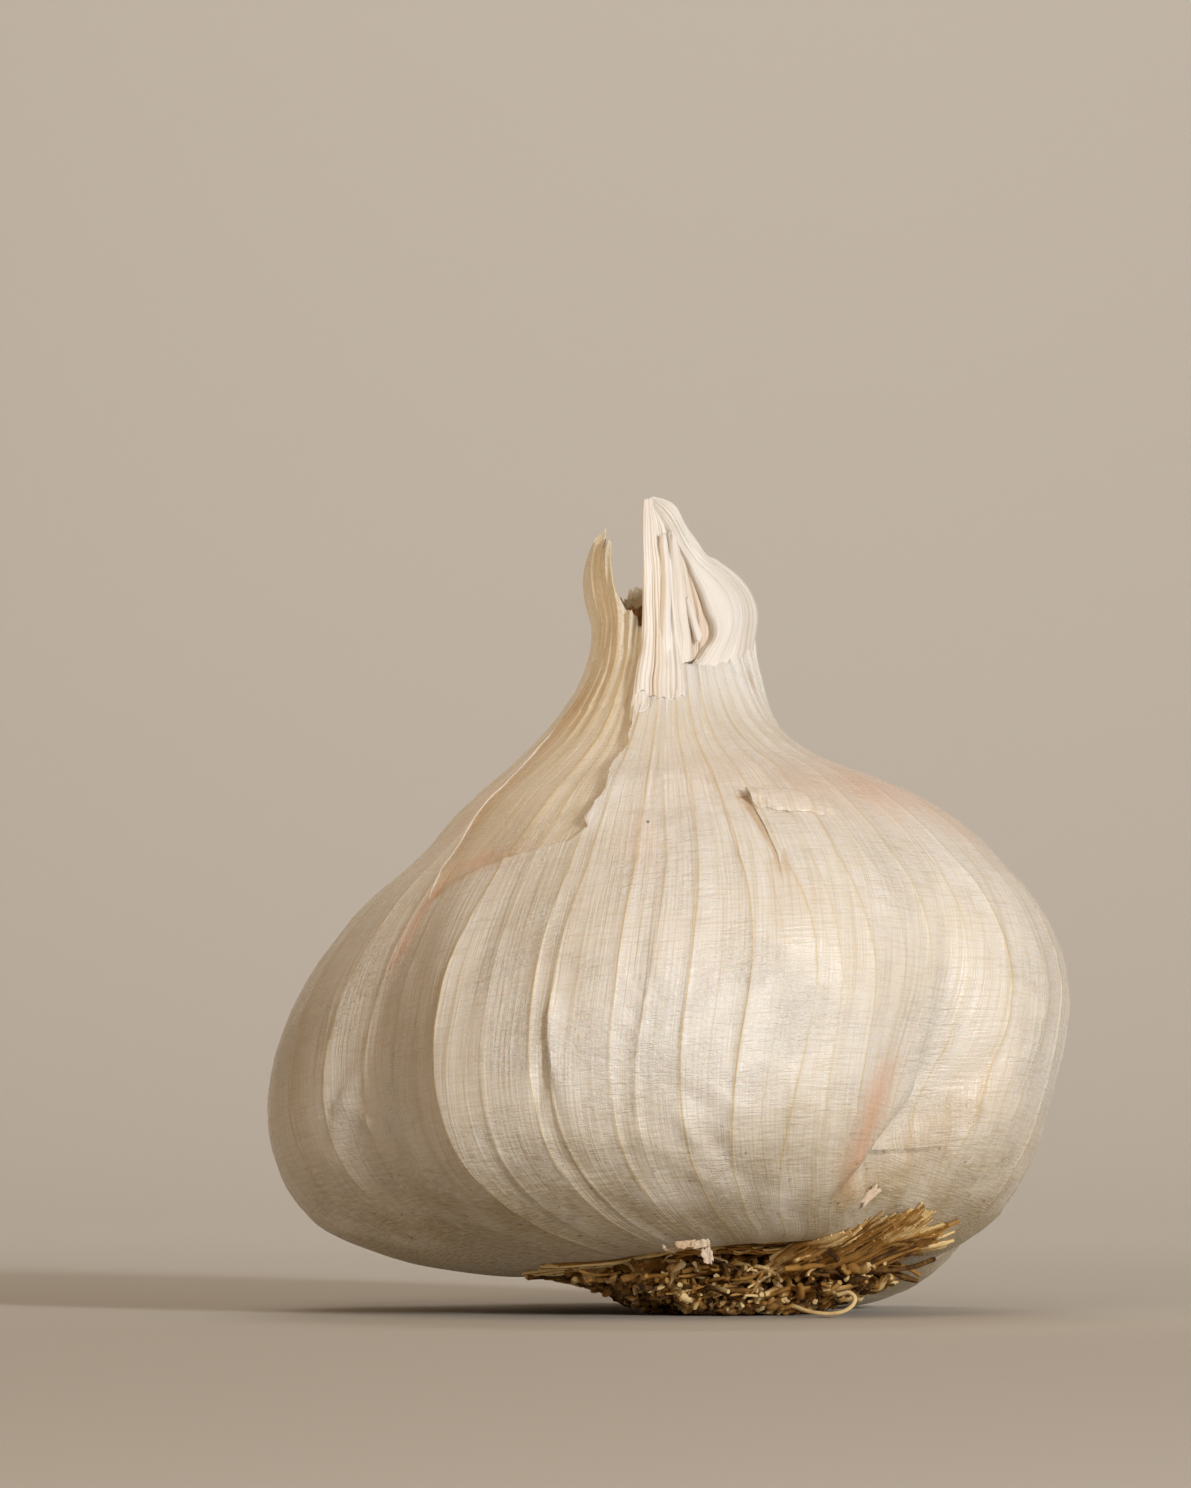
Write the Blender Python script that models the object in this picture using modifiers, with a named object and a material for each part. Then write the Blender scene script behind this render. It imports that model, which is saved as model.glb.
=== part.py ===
"""A garlic bulb as picked: cloves in papery skin, a torn dry neck, and a plate of trimmed roots.

The bulb is drawn upright in its own growing frame, in millimetres: a to its right, b away from
its front, c up along its stalk, with c = 0 where the cloves bulge lowest round the root plate.
It is then leaned back and to the left, as it rests on its trimmed roots, and set on z = 0.
"""

import math
import random

import bmesh
import bpy
from mathutils import Matrix, Vector, noise
from mathutils.bvhtree import BVHTree

MM = 0.001
SEED = 11

# How the bulb rests
LEAN_BACK = 8.5
LEAN_LEFT = 4.8
LIFT = 3.45

# Side view of the wrapped cloves, from the root plate's recess to the neck: (radius, height)
SKIN_PROFILE = (
    (0.0, 3.4),
    (6.5, 3.4),
    (9.0, 2.6),
    (11.8, 0.9),
    (15.8, 0.1),
    (20.6, 0.9),
    (25.5, 3.0),
    (29.7, 6.8),
    (31.8, 11.6),
    (32.5, 17.0),
    (31.7, 21.8),
    (29.5, 26.4),
    (26.3, 30.4),
    (22.6, 33.8),
    (18.7, 37.0),
    (14.3, 39.8),
    (11.1, 42.4),
    (8.9, 45.2),
    (7.4, 48.2),
    (6.6, 51.0),
    (6.5, 53.0),
)
# The hollow of the neck between its sheets, from the rim down to its floor
MOUTH_PROFILE = ((5.4, 53.0), (5.1, 50.6), (4.8, 48.2), (0.0, 47.8))
MOUTH_RADIUS = 5.6
RECESS_RADIUS = 9.6

# The cloves stand off the stalk's line: how far each level's centre is to the right, by height
CENTRE_SHIFT = ((0.0, -0.8), (2.0, -3.2), (6.0, -5.0), (12.0, -5.1), (20.0, -3.6), (28.0, -2.3), (35.0, -1.9),
                (42.0, -1.6), (48.0, -1.0), (53.0, -0.5))
# The left shoulder is fuller than the right: how much the right side gains, and the left loses, by height
SIDE_SWELL = ((30.0, 0.0), (35.0, 0.7), (39.8, -1.45), (42.4, -1.4), (45.2, -0.8), (48.2, -0.2), (51.0, 0.0))
# Cloves that hang lower or higher than the rest at the base: (angle, how much lower, half width)
CLOVE_HANG = ((140.0, 2.3, 34.0), (228.0, -2.2, 40.0))
HANG_BY_HEIGHT = ((3.0, 1.0), (9.0, 0.35), (15.0, 0.0))
HANG_BY_RADIUS = ((9.0, 0.0), (15.0, 1.0))

# Grooves between the cloves: (angle from the front towards the right, depth share, half width)
GROOVES = (
    (43.0, 0.125, 12.0),
    (104.0, 0.095, 11.0),
    (160.0, 0.120, 12.0),
    (214.0, 0.100, 12.0),
    (266.0, 0.075, 11.0),
    (311.0, 0.060, 13.0),
)
GROOVE_BY_HEIGHT = ((0.0, 1.0), (10.0, 1.0), (18.0, 0.62), (26.0, 0.3), (34.0, 0.22), (42.0, 0.0))

# Veins that stand up as fine ribs in the outer skin, by angle: those of the front as grown, then the rest
FRONT_VEINS = (-57.0, -45.0, -33.0, -19.0, -8.5, 3.0, 11.0, 19.5, 31.0, 43.0, 54.0)
VEIN_GAP = 10.0
VEIN_JITTER = 2.2
VEIN_RISE = 0.34
VEIN_HALF_WIDTH = 0.75
VEIN_WAVER = 1.0
DENT = 0.16

# Where the outermost sheet has torn away and the one under it shows: (height, left angle, right angle)
TORN_WINDOW = (
    (28.6, -46.0, -44.0),
    (30.4, -47.5, -36.5),
    (31.2, -48.5, -28.0),
    (31.6, -49.0, -19.5),
    (32.6, -50.0, -17.0),
    (35.0, -53.5, -17.5),
    (37.4, -57.0, -16.0),
    (39.1, -58.5, -17.5),
    (42.4, -64.0, -15.5),
    (45.2, -66.5, -18.0),
    (48.9, -69.0, -19.0),
    (51.0, -71.0, -20.0),
    (54.5, -72.0, -21.0),
)
TORN_DEPTH = 0.45

# A small torn corner that has lifted on the right shoulder: (height, left angle, right angle)
LIFTED_CORNER = ((34.6, 13.5, 30.0), (33.2, 14.2, 31.0), (31.0, 14.8, 31.0), (28.5, 15.2, 30.0), (25.8, 15.6, 27.0))
CORNER_LIFT = 0.55

# Sheets round the neck, each as rows from its root up to its torn end, and each row across the sheet
SHEET_THICKNESS = 0.66
FRONT_STRIP = (
    ((-3.6, -6.0, 48.2), (-1.8, -6.4, 47.9), (0.4, -6.2, 47.8)),
    ((-3.3, -5.8, 50.1), (-1.4, -6.4, 49.8), (0.7, -6.0, 49.7)),
    ((-3.0, -5.7, 52.2), (-1.1, -6.3, 51.9), (0.9, -5.8, 51.8)),
    ((-2.8, -5.6, 54.3), (-1.0, -6.2, 54.1), (0.8, -5.6, 54.0)),
    ((-2.5, -5.5, 56.5), (-0.9, -6.0, 56.3), (0.6, -5.4, 56.3)),
    ((-2.3, -5.2, 58.5), (-0.9, -5.7, 58.4), (0.3, -5.2, 58.5)),
    ((-2.1, -4.9, 60.4), (-1.2, -5.2, 60.4), (-0.3, -4.8, 60.3)),
    ((-2.1, -4.6, 61.7), (-1.5, -4.8, 62.1), (-0.7, -4.6, 61.9)),
)
HOOD = (
    ((0.4, -6.1, 47.9), (3.3, -4.6, 47.9), (5.5, 0.0, 49.0), (4.3, 4.6, 50.7), (2.1, 5.8, 51.4)),
    ((2.3, -6.0, 49.6), (4.2, -4.5, 49.8), (5.6, 0.0, 50.6), (4.5, 4.6, 52.2), (2.3, 5.8, 53.0)),
    ((2.8, -5.9, 51.5), (4.9, -4.0, 51.7), (6.1, 0.2, 52.7), (4.8, 4.7, 54.1), (2.7, 5.9, 54.9)),
    ((2.3, -5.8, 53.2), (4.7, -3.8, 53.5), (5.9, 0.2, 54.4), (4.5, 4.6, 55.8), (2.6, 5.6, 56.2)),
    ((1.7, -5.6, 54.6), (3.8, -3.8, 54.8), (5.3, -0.2, 55.6), (3.9, 4.0, 56.7), (2.3, 4.8, 56.7)),
    ((1.3, -5.4, 55.8), (3.2, -3.9, 56.0), (4.4, -1.0, 56.4), (3.3, 2.4, 57.3), (2.0, 3.4, 57.0)),
    ((1.1, -5.3, 56.5), (1.9, -4.6, 56.8), (2.6, -3.2, 57.1), (2.4, -1.2, 57.4), (1.9, -0.6, 57.1)),
)
HOOD_STRAP = ((2.2, -3.0, 56.8), (1.6, -4.2, 57.6), (1.1, -4.7, 58.3), (0.7, -4.7, 59.1), (0.0, -4.6, 60.6), (-0.9, -4.6, 61.7))
LEFT_SHARD = (
    ((-5.3, -4.9, 49.5), (-6.6, -1.4, 50.8), (-5.9, 3.4, 52.3)),
    ((-5.1, -4.7, 52.2), (-6.8, -1.2, 53.2), (-6.1, 3.6, 54.9)),
    ((-5.0, -4.6, 54.3), (-6.9, -1.0, 55.2), (-6.2, 3.6, 56.6)),
    ((-4.9, -4.4, 56.2), (-6.7, -1.2, 57.1), (-6.1, 2.0, 58.0)),
    ((-4.6, -4.1, 57.5), (-6.2, -1.6, 58.5), (-5.9, 0.4, 58.9)),
    ((-4.5, -3.9, 58.5), (-5.3, -2.0, 59.5), (-5.5, -1.0, 59.3)),
)
LEFT_WALL = (
    ((-4.7, -4.5, 49.6), (-3.9, -5.2, 49.2), (-2.6, -5.8, 48.8)),
    ((-4.7, -4.5, 51.8), (-3.8, -5.3, 51.4), (-2.5, -5.9, 51.1)),
    ((-4.8, -4.6, 54.1), (-3.9, -5.4, 53.5), (-2.4, -5.8, 53.7)),
)
BACK_RIM = (
    ((-6.0, 3.0, 50.8), (-4.2, 5.0, 51.1), (-0.6, 6.0, 50.9), (3.0, 5.2, 50.4)),
    ((-6.1, 3.4, 54.0), (-4.2, 5.3, 54.2), (-0.5, 6.1, 54.0), (3.1, 5.3, 53.8)),
    ((-6.0, 3.6, 56.4), (-3.9, 5.3, 56.3), (-1.5, 5.9, 56.9), (2.8, 5.1, 55.8)),
)

# The dried stalk's stub inside the neck: (radius, height) up its side, and where it stands
STUB_PROFILE = ((0.0, 48.2), (3.3, 48.3), (3.5, 50.4), (3.7, 52.6), (3.3, 54.4), (2.2, 54.9), (1.2, 53.2), (0.0, 52.8))
STUB_COLUMNS = 22
STUB_SHIFT = (-1.0, 0.4)

# The pad of trimmed roots under the root plate, at rest: (radius, height) from its top to the floor
PAD_PROFILE = ((0.0, 6.2), (6.6, 6.2), (8.6, 4.4), (9.4, 2.6), (9.0, 1.0), (7.8, 0.0), (5.6, 0.5), (3.2, 0.0), (0.0, 0.0))
PAD_FLAT = 3.3
PAD_COLUMNS = 40
PAD_REACH = ((-180.0, 1.12), (-120.0, 1.16), (-60.0, 1.06), (0.0, 0.92), (60.0, 0.98), (120.0, 1.08), (180.0, 1.12))
PAD_LUMPS = 0.09

# Roots that stick out of the pad: how far they reach from the middle by direction, and how thick
ROOTS = 104
ROOT_REACH = ((-180.0, 13.0), (-120.0, 13.0), (-75.0, 17.5), (-58.0, 18.5), (-30.0, 13.0), (0.0, 11.5), (30.0, 13.0),
              (55.0, 19.5), (80.0, 16.5), (120.0, 13.5), (180.0, 13.0))
ROOT_RADIUS = (0.62, 0.45)
ROOT_POINTS = 4
CLEARANCE = 0.5


def table_value(table, x):
    """The value at x on a smooth curve through the pairs of a table, level beyond its ends."""
    last = len(table) - 1
    if x <= table[0][0] or x >= table[last][0]:
        return table[0][1] if x <= table[0][0] else table[last][1]
    i = max(k for k in range(last) if table[k][0] <= x)
    (x0, y0), (x1, y1) = table[i], table[i + 1]
    slopes = []
    for k in (i, i + 1):
        (xa, ya), (xb, yb) = table[max(k - 1, 0)], table[min(k + 1, last)]
        slopes.append((yb - ya) / (xb - xa) * (x1 - x0))
    t = (x - x0) / (x1 - x0)
    return (
        y0 * (2 * t ** 3 - 3 * t ** 2 + 1) + slopes[0] * (t ** 3 - 2 * t ** 2 + t)
        + y1 * (3 * t ** 2 - 2 * t ** 3) + slopes[1] * (t ** 3 - t ** 2)
    )


def turn_between(angle, other):
    """The signed angle from other to angle, in degrees, from -180 to 180."""
    return (angle - other + 180.0) % 360.0 - 180.0


def spline_through(points, between):
    """Points of a smooth curve through the given ones, with so many added in each stretch."""
    line = []
    last = len(points) - 1
    for i in range(last):
        p0, p1, p2, p3 = (Vector(points[min(max(j, 0), last)]) for j in (i - 1, i, i + 1, i + 2))
        for k in range(between + 1):
            t = k / (between + 1)
            line.append(
                0.5 * ((2 * p1) + (p2 - p0) * t + (2 * p0 - 5 * p1 + 4 * p2 - p3) * t ** 2
                       + (3 * p1 - p0 - 3 * p2 + p3) * t ** 3)
            )
    line.append(Vector(points[last]))
    return line


def vein_angles():
    """Where each vein runs, the front's as listed and the rest unevenly spaced round the back."""
    chance = random.Random(SEED)
    start, end = FRONT_VEINS[-1], FRONT_VEINS[0] + 360.0
    count = round((end - start) / VEIN_GAP)
    step = (end - start) / count
    rest = [start + k * step + chance.uniform(-VEIN_JITTER, VEIN_JITTER) for k in range(1, count)]
    return list(FRONT_VEINS) + rest


def skin_point(radius, angle, height, rise=0.0):
    """The point of the skin that a plain turned surface has at this radius, angle and height."""
    groove = sum(
        depth * math.exp(-(turn_between(angle, at) / width) ** 2) for at, depth, width in GROOVES
    )
    hang = sum(
        drop * math.exp(-(turn_between(angle, at) / width) ** 2) for at, drop, width in CLOVE_HANG
    )
    turn = math.radians(angle)
    size = radius * (1.0 - groove * table_value(GROOVE_BY_HEIGHT, height)) + rise
    size += table_value(SIDE_SWELL, height) * math.sin(turn) ** 3
    return Vector((
        table_value(CENTRE_SHIFT, height) * min(1.0, radius / MOUTH_RADIUS) + size * math.sin(turn),
        -size * math.cos(turn),
        height - hang * table_value(HANG_BY_HEIGHT, height) * table_value(HANG_BY_RADIUS, radius),
    ))


def skin_radius(height):
    """The radius of the wrapped cloves at a height above their widest."""
    upper = [(c, r) for r, c in SKIN_PROFILE if c >= 17.0]
    return table_value(upper, height)


def resting():
    """The matrix from the growing frame to the bulb at rest, both in millimetres."""
    lean = Matrix.Rotation(-math.radians(LEAN_BACK), 4, "X") @ Matrix.Rotation(-math.radians(LEAN_LEFT), 4, "Y")
    return Matrix.Translation((0, 0, LIFT)) @ lean


def new_object(name, mesh):
    """A mesh object in the scene."""
    obj = bpy.data.objects.new(name, mesh)
    bpy.context.scene.collection.objects.link(obj)
    return obj


def apply_modifiers(obj):
    """Replaces the object's mesh with the result of its modifiers."""
    graph = bpy.context.evaluated_depsgraph_get()
    result = bpy.data.meshes.new_from_object(obj.evaluated_get(graph))
    obj.modifiers.clear()
    obj.data = result


def turned(name, profile, steps):
    """A closed solid turned about the upright axis from a profile of (radius, height)."""
    mesh = bpy.data.meshes.new(name)
    points = [(radius, 0.0, height) for radius, height in profile]
    mesh.from_pydata(points, [(i, i + 1) for i in range(len(points) - 1)], [])
    obj = new_object(name, mesh)
    screw = obj.modifiers.new("turn", "SCREW")
    screw.axis = "Z"
    screw.steps = steps
    screw.render_steps = steps
    screw.use_merge_vertices = True
    screw.merge_threshold = 0.0001
    screw.use_normal_calculate = True
    apply_modifiers(obj)
    return obj


def outward(mesh):
    """Turns every face of a closed mesh to look outward."""
    shape = bmesh.new()
    shape.from_mesh(mesh)
    bmesh.ops.recalc_face_normals(shape, faces=shape.faces)
    shape.to_mesh(mesh)
    shape.free()


def grid_faces(rows, columns, start=0, flip=False):
    """The four-sided faces of a grid of points numbered row by row."""
    faces = []
    for i in range(rows - 1):
        for j in range(columns - 1):
            k = start + i * columns + j
            face = (k, k + 1, k + columns + 1, k + columns)
            faces.append(face[::-1] if flip else face)
    return faces


def closed_slab(name, inner, outer):
    """A closed solid lofted between two grids of the same size, one inside the other."""
    rows, columns = len(inner), len(inner[0])
    size = rows * columns
    points = [p for row in inner for p in row] + [p for row in outer for p in row]
    faces = grid_faces(rows, columns, 0, True) + grid_faces(rows, columns, size)
    rim = [i for i in range(columns)]
    rim += [i * columns + columns - 1 for i in range(1, rows)]
    rim += [(rows - 1) * columns + i for i in range(columns - 2, -1, -1)]
    rim += [i * columns for i in range(rows - 2, 0, -1)]
    for i, k in enumerate(rim):
        after = rim[(i + 1) % len(rim)]
        faces.append((k, after, after + size, k + size))
    mesh = bpy.data.meshes.new(name)
    mesh.from_pydata(points, [], faces)
    obj = new_object(name, mesh)
    outward(mesh)
    return obj


def join(target, others, operation, solver):
    """One Boolean of the target with all the others, which are then removed."""
    group = bpy.data.collections.new(target.name + " " + operation.lower())
    bpy.context.scene.collection.children.link(group)
    for other in others:
        bpy.context.scene.collection.objects.unlink(other)
        group.objects.link(other)
        other.hide_render = True
        other.display_type = "WIRE"
    boolean = target.modifiers.new(operation.lower(), "BOOLEAN")
    boolean.operation = operation
    boolean.operand_type = "COLLECTION"
    boolean.collection = group
    boolean.solver = solver
    apply_modifiers(target)
    for other in others:
        bpy.data.objects.remove(other)
    bpy.data.collections.remove(group)


def keep_largest_shell(obj):
    """Keeps the one shell with the most faces, and drops crumbs and closed pockets."""
    shape = bmesh.new()
    shape.from_mesh(obj.data)
    left = set(shape.faces)
    shells = []
    while left:
        reach = [left.pop()]
        shell = set(reach)
        while reach:
            face = reach.pop()
            for edge in face.edges:
                if len(edge.link_faces) != 2:
                    continue
                for other in edge.link_faces:
                    if other in left:
                        left.remove(other)
                        shell.add(other)
                        reach.append(other)
        shells.append(shell)
    largest = max(shells, key=len)
    bmesh.ops.delete(shape, geom=[f for f in shape.faces if f not in largest], context="FACES")
    shape.to_mesh(obj.data)
    shape.free()


def wrapped_cloves():
    """The body of cloves inside their skins, with veins, grooves and a hollow neck."""
    line = [Vector((r, c, 0.0)) for r, c in SKIN_PROFILE]
    finer = spline_through([(r, c, 0.0) for r, c in SKIN_PROFILE], 1)
    profile = [(p.x, p.y) for p in finer if p in line or 2.2 < p.y < 10.0 or 37.0 < p.y < 41.0]
    profile += list(MOUTH_PROFILE)
    veins = vein_angles()
    chance = random.Random(SEED + 1)
    strength = [chance.uniform(0.55, 1.15) for _ in veins]
    phase = [chance.uniform(0.0, 2.0 * math.pi) for _ in veins]
    steps = 4 * len(veins)
    body = turned("bulb", profile, steps)
    for vertex in body.data.vertices:
        radius = math.hypot(vertex.co.x, vertex.co.y)
        height = vertex.co.z
        column = round(math.degrees(math.atan2(vertex.co.y, vertex.co.x)) / 360.0 * steps) % steps
        vein, part_of_gap = divmod(column, 4)
        here = veins[vein]
        after = veins[(vein + 1) % len(veins)]
        gap = (after - here) % 360.0
        width = min(0.3 * gap, math.degrees(VEIN_HALF_WIDTH / max(radius, 1.0)))
        angle = here + (0.0, width, 0.5 * gap, gap - width)[part_of_gap]
        angle += VEIN_WAVER * math.sin(0.16 * height + phase[vein])
        outside = radius > 10.0 or height > 40.0
        in_mouth = any(abs(height - c) < 0.01 and abs(radius - r) < 0.01 for r, c in MOUTH_PROFILE)
        rise = 0.0
        if outside and not in_mouth:
            if part_of_gap == 0:
                rise = VEIN_RISE * strength[vein]
            if part_of_gap == 2:
                rise = -0.06
            rise += DENT * noise.noise(Vector((math.radians(angle) * 5.0, height * 0.09, 7.0)))
        vertex.co = skin_point(radius, angle, height, rise)
    outward(body.data)
    return body


def torn_window():
    """A thin cutter over the place where the outermost sheet has torn away."""
    columns = 9
    inner = []
    outer = []
    for height, left, right in TORN_WINDOW:
        radius = skin_radius(height)
        angles = [left + (right - left) * k / (columns - 1) for k in range(columns)]
        inner.append([skin_point(radius, angle, height, -TORN_DEPTH) for angle in angles])
        outer.append([skin_point(radius, angle, height, 1.4) for angle in angles])
    return closed_slab("torn window", inner, outer)


def lifted_corner():
    """The lifted corner of skin, its free edges raised and its rooted edges sunk in."""
    columns = 6
    inner = []
    outer = []
    last = len(LIFTED_CORNER) - 1
    for i, (height, left, right) in enumerate(LIFTED_CORNER):
        radius = skin_radius(height)
        inner.append([])
        outer.append([])
        for k in range(columns):
            across = k / (columns - 1)
            angle = left + (right - left) * across
            rise = CORNER_LIFT - 0.95 * max(across ** 1.5, (i / last) ** 1.5)
            inner[i].append(skin_point(radius, angle, height, rise - 0.9))
            outer[i].append(skin_point(radius, angle, height, rise))
    return closed_slab("lifted corner", inner, outer)


def sheet(name, table, rows_between, columns_between, fold, ragged):
    """A dry sheet through a table of points, folded lengthwise, with a ragged end, and of even thickness."""
    chance = random.Random(SEED + len(name))
    across = [spline_through(row, columns_between) for row in table]
    lengthwise = [spline_through(column, rows_between) for column in zip(*across)]
    grid = [list(row) for row in zip(*lengthwise)]
    rows, columns = len(grid), len(grid[0])
    folded = [list(row) for row in grid]
    for j in range(1, columns - 1):
        for i in range(rows):
            along = grid[min(i + 1, rows - 1)][j] - grid[max(i - 1, 0)][j]
            side = grid[i][j + 1] - grid[i][j - 1]
            depth = fold * min(1.0, side.length / 1.8)
            folded[i][j] = grid[i][j] + along.cross(side).normalized() * depth * (1 if j % 2 else -1)
    grid = folded
    for j in range(columns):
        grid[-1][j] = grid[-1][j] + (grid[-1][j] - grid[-2][j]).normalized() * chance.uniform(-ragged, ragged)
    mesh = bpy.data.meshes.new(name)
    mesh.from_pydata([p for row in grid for p in row], [], grid_faces(rows, columns))
    obj = new_object(name, mesh)
    solidify = obj.modifiers.new("thickness", "SOLIDIFY")
    solidify.thickness = SHEET_THICKNESS
    solidify.offset = 0.0
    apply_modifiers(obj)
    outward(obj.data)
    return obj


def strands(name, paths, sides):
    """Closed tapering strands along paths of (point, radius), as separate objects."""
    made = []
    for number, path in enumerate(paths):
        curve = bpy.data.curves.new(f"{name} {number}", "CURVE")
        curve.dimensions = "3D"
        curve.bevel_depth = 1.0
        curve.bevel_resolution = sides
        curve.use_fill_caps = True
        spline = curve.splines.new("POLY")
        spline.points.add(len(path) - 1)
        for point, (place, radius) in zip(spline.points, path):
            point.co = (*place, 1.0)
            point.radius = radius
        holder = new_object(f"{name} path {number}", curve)
        graph = bpy.context.evaluated_depsgraph_get()
        mesh = bpy.data.meshes.new_from_object(holder.evaluated_get(graph))
        bpy.data.objects.remove(holder)
        shape = bmesh.new()
        shape.from_mesh(mesh)
        bmesh.ops.remove_doubles(shape, verts=shape.verts, dist=0.0005)
        bmesh.ops.recalc_face_normals(shape, faces=shape.faces)
        shape.to_mesh(mesh)
        shape.free()
        made.append(new_object(f"{name} {number}", mesh))
    return made


def stalk_stub():
    """The ragged stub of the dried stalk, standing free in the neck's hollow."""
    stub = turned("stem_stub", STUB_PROFILE, STUB_COLUMNS)
    for vertex in stub.data.vertices:
        radius = math.hypot(vertex.co.x, vertex.co.y)
        angle = math.atan2(vertex.co.y, vertex.co.x)
        column = round(angle / (2.0 * math.pi) * STUB_COLUMNS)
        swell = 1.0 + 0.06 * (1 if column % 2 else -1)
        rough = noise.noise(Vector((3.0 * math.cos(angle), 3.0 * math.sin(angle), vertex.co.z)))
        top = max(0.0, vertex.co.z - 53.5)
        vertex.co = Vector((
            STUB_SHIFT[0] + radius * swell * math.cos(angle),
            STUB_SHIFT[1] + radius * swell * math.sin(angle),
            vertex.co.z + rough * top * 0.9,
        ))
    outward(stub.data)
    return stub


def underside(tree, x, y):
    """How high the cloves hang above the floor at a place, or None beside them."""
    hit = tree.ray_cast(Vector((x, y, -20.0)), Vector((0.0, 0.0, 1.0)))
    return hit[0].z if hit[0] is not None else None


def root_pad(tree):
    """The lumpy pad of roots that fills the recess under the root plate, flat where it rests."""
    pad = turned("roots", PAD_PROFILE, PAD_COLUMNS)
    for vertex in pad.data.vertices:
        radius = math.hypot(vertex.co.x, vertex.co.y)
        if radius < 0.01:
            continue
        angle = math.atan2(vertex.co.x, -vertex.co.y)
        column = round(math.degrees(angle) / 360.0 * PAD_COLUMNS)
        reach = table_value(PAD_REACH, math.degrees(angle))
        reach += PAD_LUMPS * (1 if column % 2 else -1) + 0.05 * noise.noise(vertex.co * 0.5)
        x = radius * reach * math.sin(angle)
        y = -radius * reach * math.cos(angle)
        ceiling = underside(tree, x, y)
        height = vertex.co.z if ceiling is None else min(vertex.co.z, ceiling - CLEARANCE)
        if height < 0.6 and radius > PAD_FLAT:
            height = 0.0 if column % 2 and radius > 6.0 else 0.55 + 0.5 * noise.noise(vertex.co * 0.8)
        vertex.co = Vector((x, y, max(height, 0.0)))
    for vertex in pad.data.vertices:
        if math.hypot(vertex.co.x, vertex.co.y) < 0.01 and vertex.co.z > 1.0:
            vertex.co.z = underside(tree, 0.0, 0.0) - CLEARANCE
    outward(pad.data)
    return pad


def root_paths(tree):
    """Paths of roots that splay out of the pad, clear of the cloves and above the floor."""
    chance = random.Random(SEED + 5)
    paths = []
    while len(paths) < ROOTS:
        direction = chance.uniform(-180.0, 180.0)
        if abs(direction) > 100.0 and chance.random() < 0.35:
            continue
        reach = table_value(ROOT_REACH, direction)
        length_share = chance.uniform(0.15, 1.0) ** 0.8
        start = chance.uniform(5.2, 7.2)
        end = 8.6 + (reach - 8.6) * length_share
        bend = chance.uniform(-26.0, 26.0)
        level = chance.random()
        path = []
        for k in range(ROOT_POINTS):
            share = k / (ROOT_POINTS - 1)
            radius = start + (end - start) * share
            turn = math.radians(direction + bend * share * share)
            thickness = ROOT_RADIUS[0] + (ROOT_RADIUS[1] - ROOT_RADIUS[0]) * share
            x = radius * math.sin(turn)
            y = -radius * math.cos(turn)
            ceiling = underside(tree, x, y)
            ceiling = 8.0 if ceiling is None else ceiling - CLEARANCE - thickness
            floor = thickness + 0.08
            if ceiling < floor:
                break
            wanted = floor + (min(ceiling, 9.5) - floor) * (level + (0.5 - level) * (1.0 - share))
            place = Vector((x, y, wanted))
            for _ in range(4):
                near = tree.find_nearest(place)
                short = thickness + CLEARANCE - (place - near[0]).length
                if short > 0.0:
                    place = place + (place - near[0]).normalized() * short
            if place.z < floor or (place - tree.find_nearest(place)[0]).length < thickness + CLEARANCE - 0.06:
                break
            path.append((place, thickness))
        if len(path) >= 3 and math.hypot(path[-1][0].x, path[-1][0].y) > 9.0:
            paths.append(path)
    return paths


def finish(obj, matrix, color, roughness):
    """Puts a finished solid at rest, in metres, smooth but for its sharp edges, in its own material."""
    keep_largest_shell(obj)
    obj.data.transform(Matrix.Scale(MM, 4) @ matrix)
    obj.data.materials.clear()
    material = bpy.data.materials.new(obj.name)
    material.use_nodes = True
    shader = material.node_tree.nodes["Principled BSDF"]
    shader.inputs["Base Color"].default_value = (*color, 1.0)
    shader.inputs["Roughness"].default_value = roughness
    material.diffuse_color = (*color, 1.0)
    obj.data.materials.append(material)
    for face in obj.data.polygons:
        face.use_smooth = True
    obj.data.set_sharp_from_angle(angle=math.radians(40.0))


def build():
    """Makes the three pieces: the wrapped bulb, the stalk's stub in its neck, and the roots."""
    for obj in list(bpy.data.objects):
        bpy.data.objects.remove(obj)

    bulb = wrapped_cloves()
    join(bulb, [torn_window()], "DIFFERENCE", "EXACT")
    sheets = [
        sheet("front strip", FRONT_STRIP, 0, 2, 0.14, 0.0),
        sheet("hood", HOOD, 0, 2, 0.10, 0.0),
        sheet("left shard", LEFT_SHARD, 0, 2, 0.12, 0.35),
        sheet("left wall", LEFT_WALL, 0, 2, 0.08, 0.5),
        sheet("back rim", BACK_RIM, 0, 2, 0.10, 0.6),
        lifted_corner(),
    ]
    strap = [(Vector(point), 0.46) for point in HOOD_STRAP]
    sheets += strands("hood strap", [strap], 1)
    join(bulb, sheets, "UNION", "EXACT")
    stub = stalk_stub()

    resting_bulb = bulb.data.copy()
    resting_bulb.transform(resting())
    shape = bmesh.new()
    shape.from_mesh(resting_bulb)
    tree = BVHTree.FromBMesh(shape)
    shape.free()
    bpy.data.meshes.remove(resting_bulb)
    roots = root_pad(tree)
    join(roots, strands("root", root_paths(tree), 0), "UNION", "MANIFOLD")

    finish(bulb, resting(), (0.80, 0.72, 0.58), 0.45)
    finish(stub, resting(), (0.22, 0.13, 0.06), 0.85)
    finish(roots, Matrix.Identity(4), (0.24, 0.15, 0.07), 0.9)


if __name__ == "__main__":
    build()
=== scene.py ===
"""Dresses the garlic bulb's solids: papery skin with ribs and tears, neck sheets, stalk stub and roots."""

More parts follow.
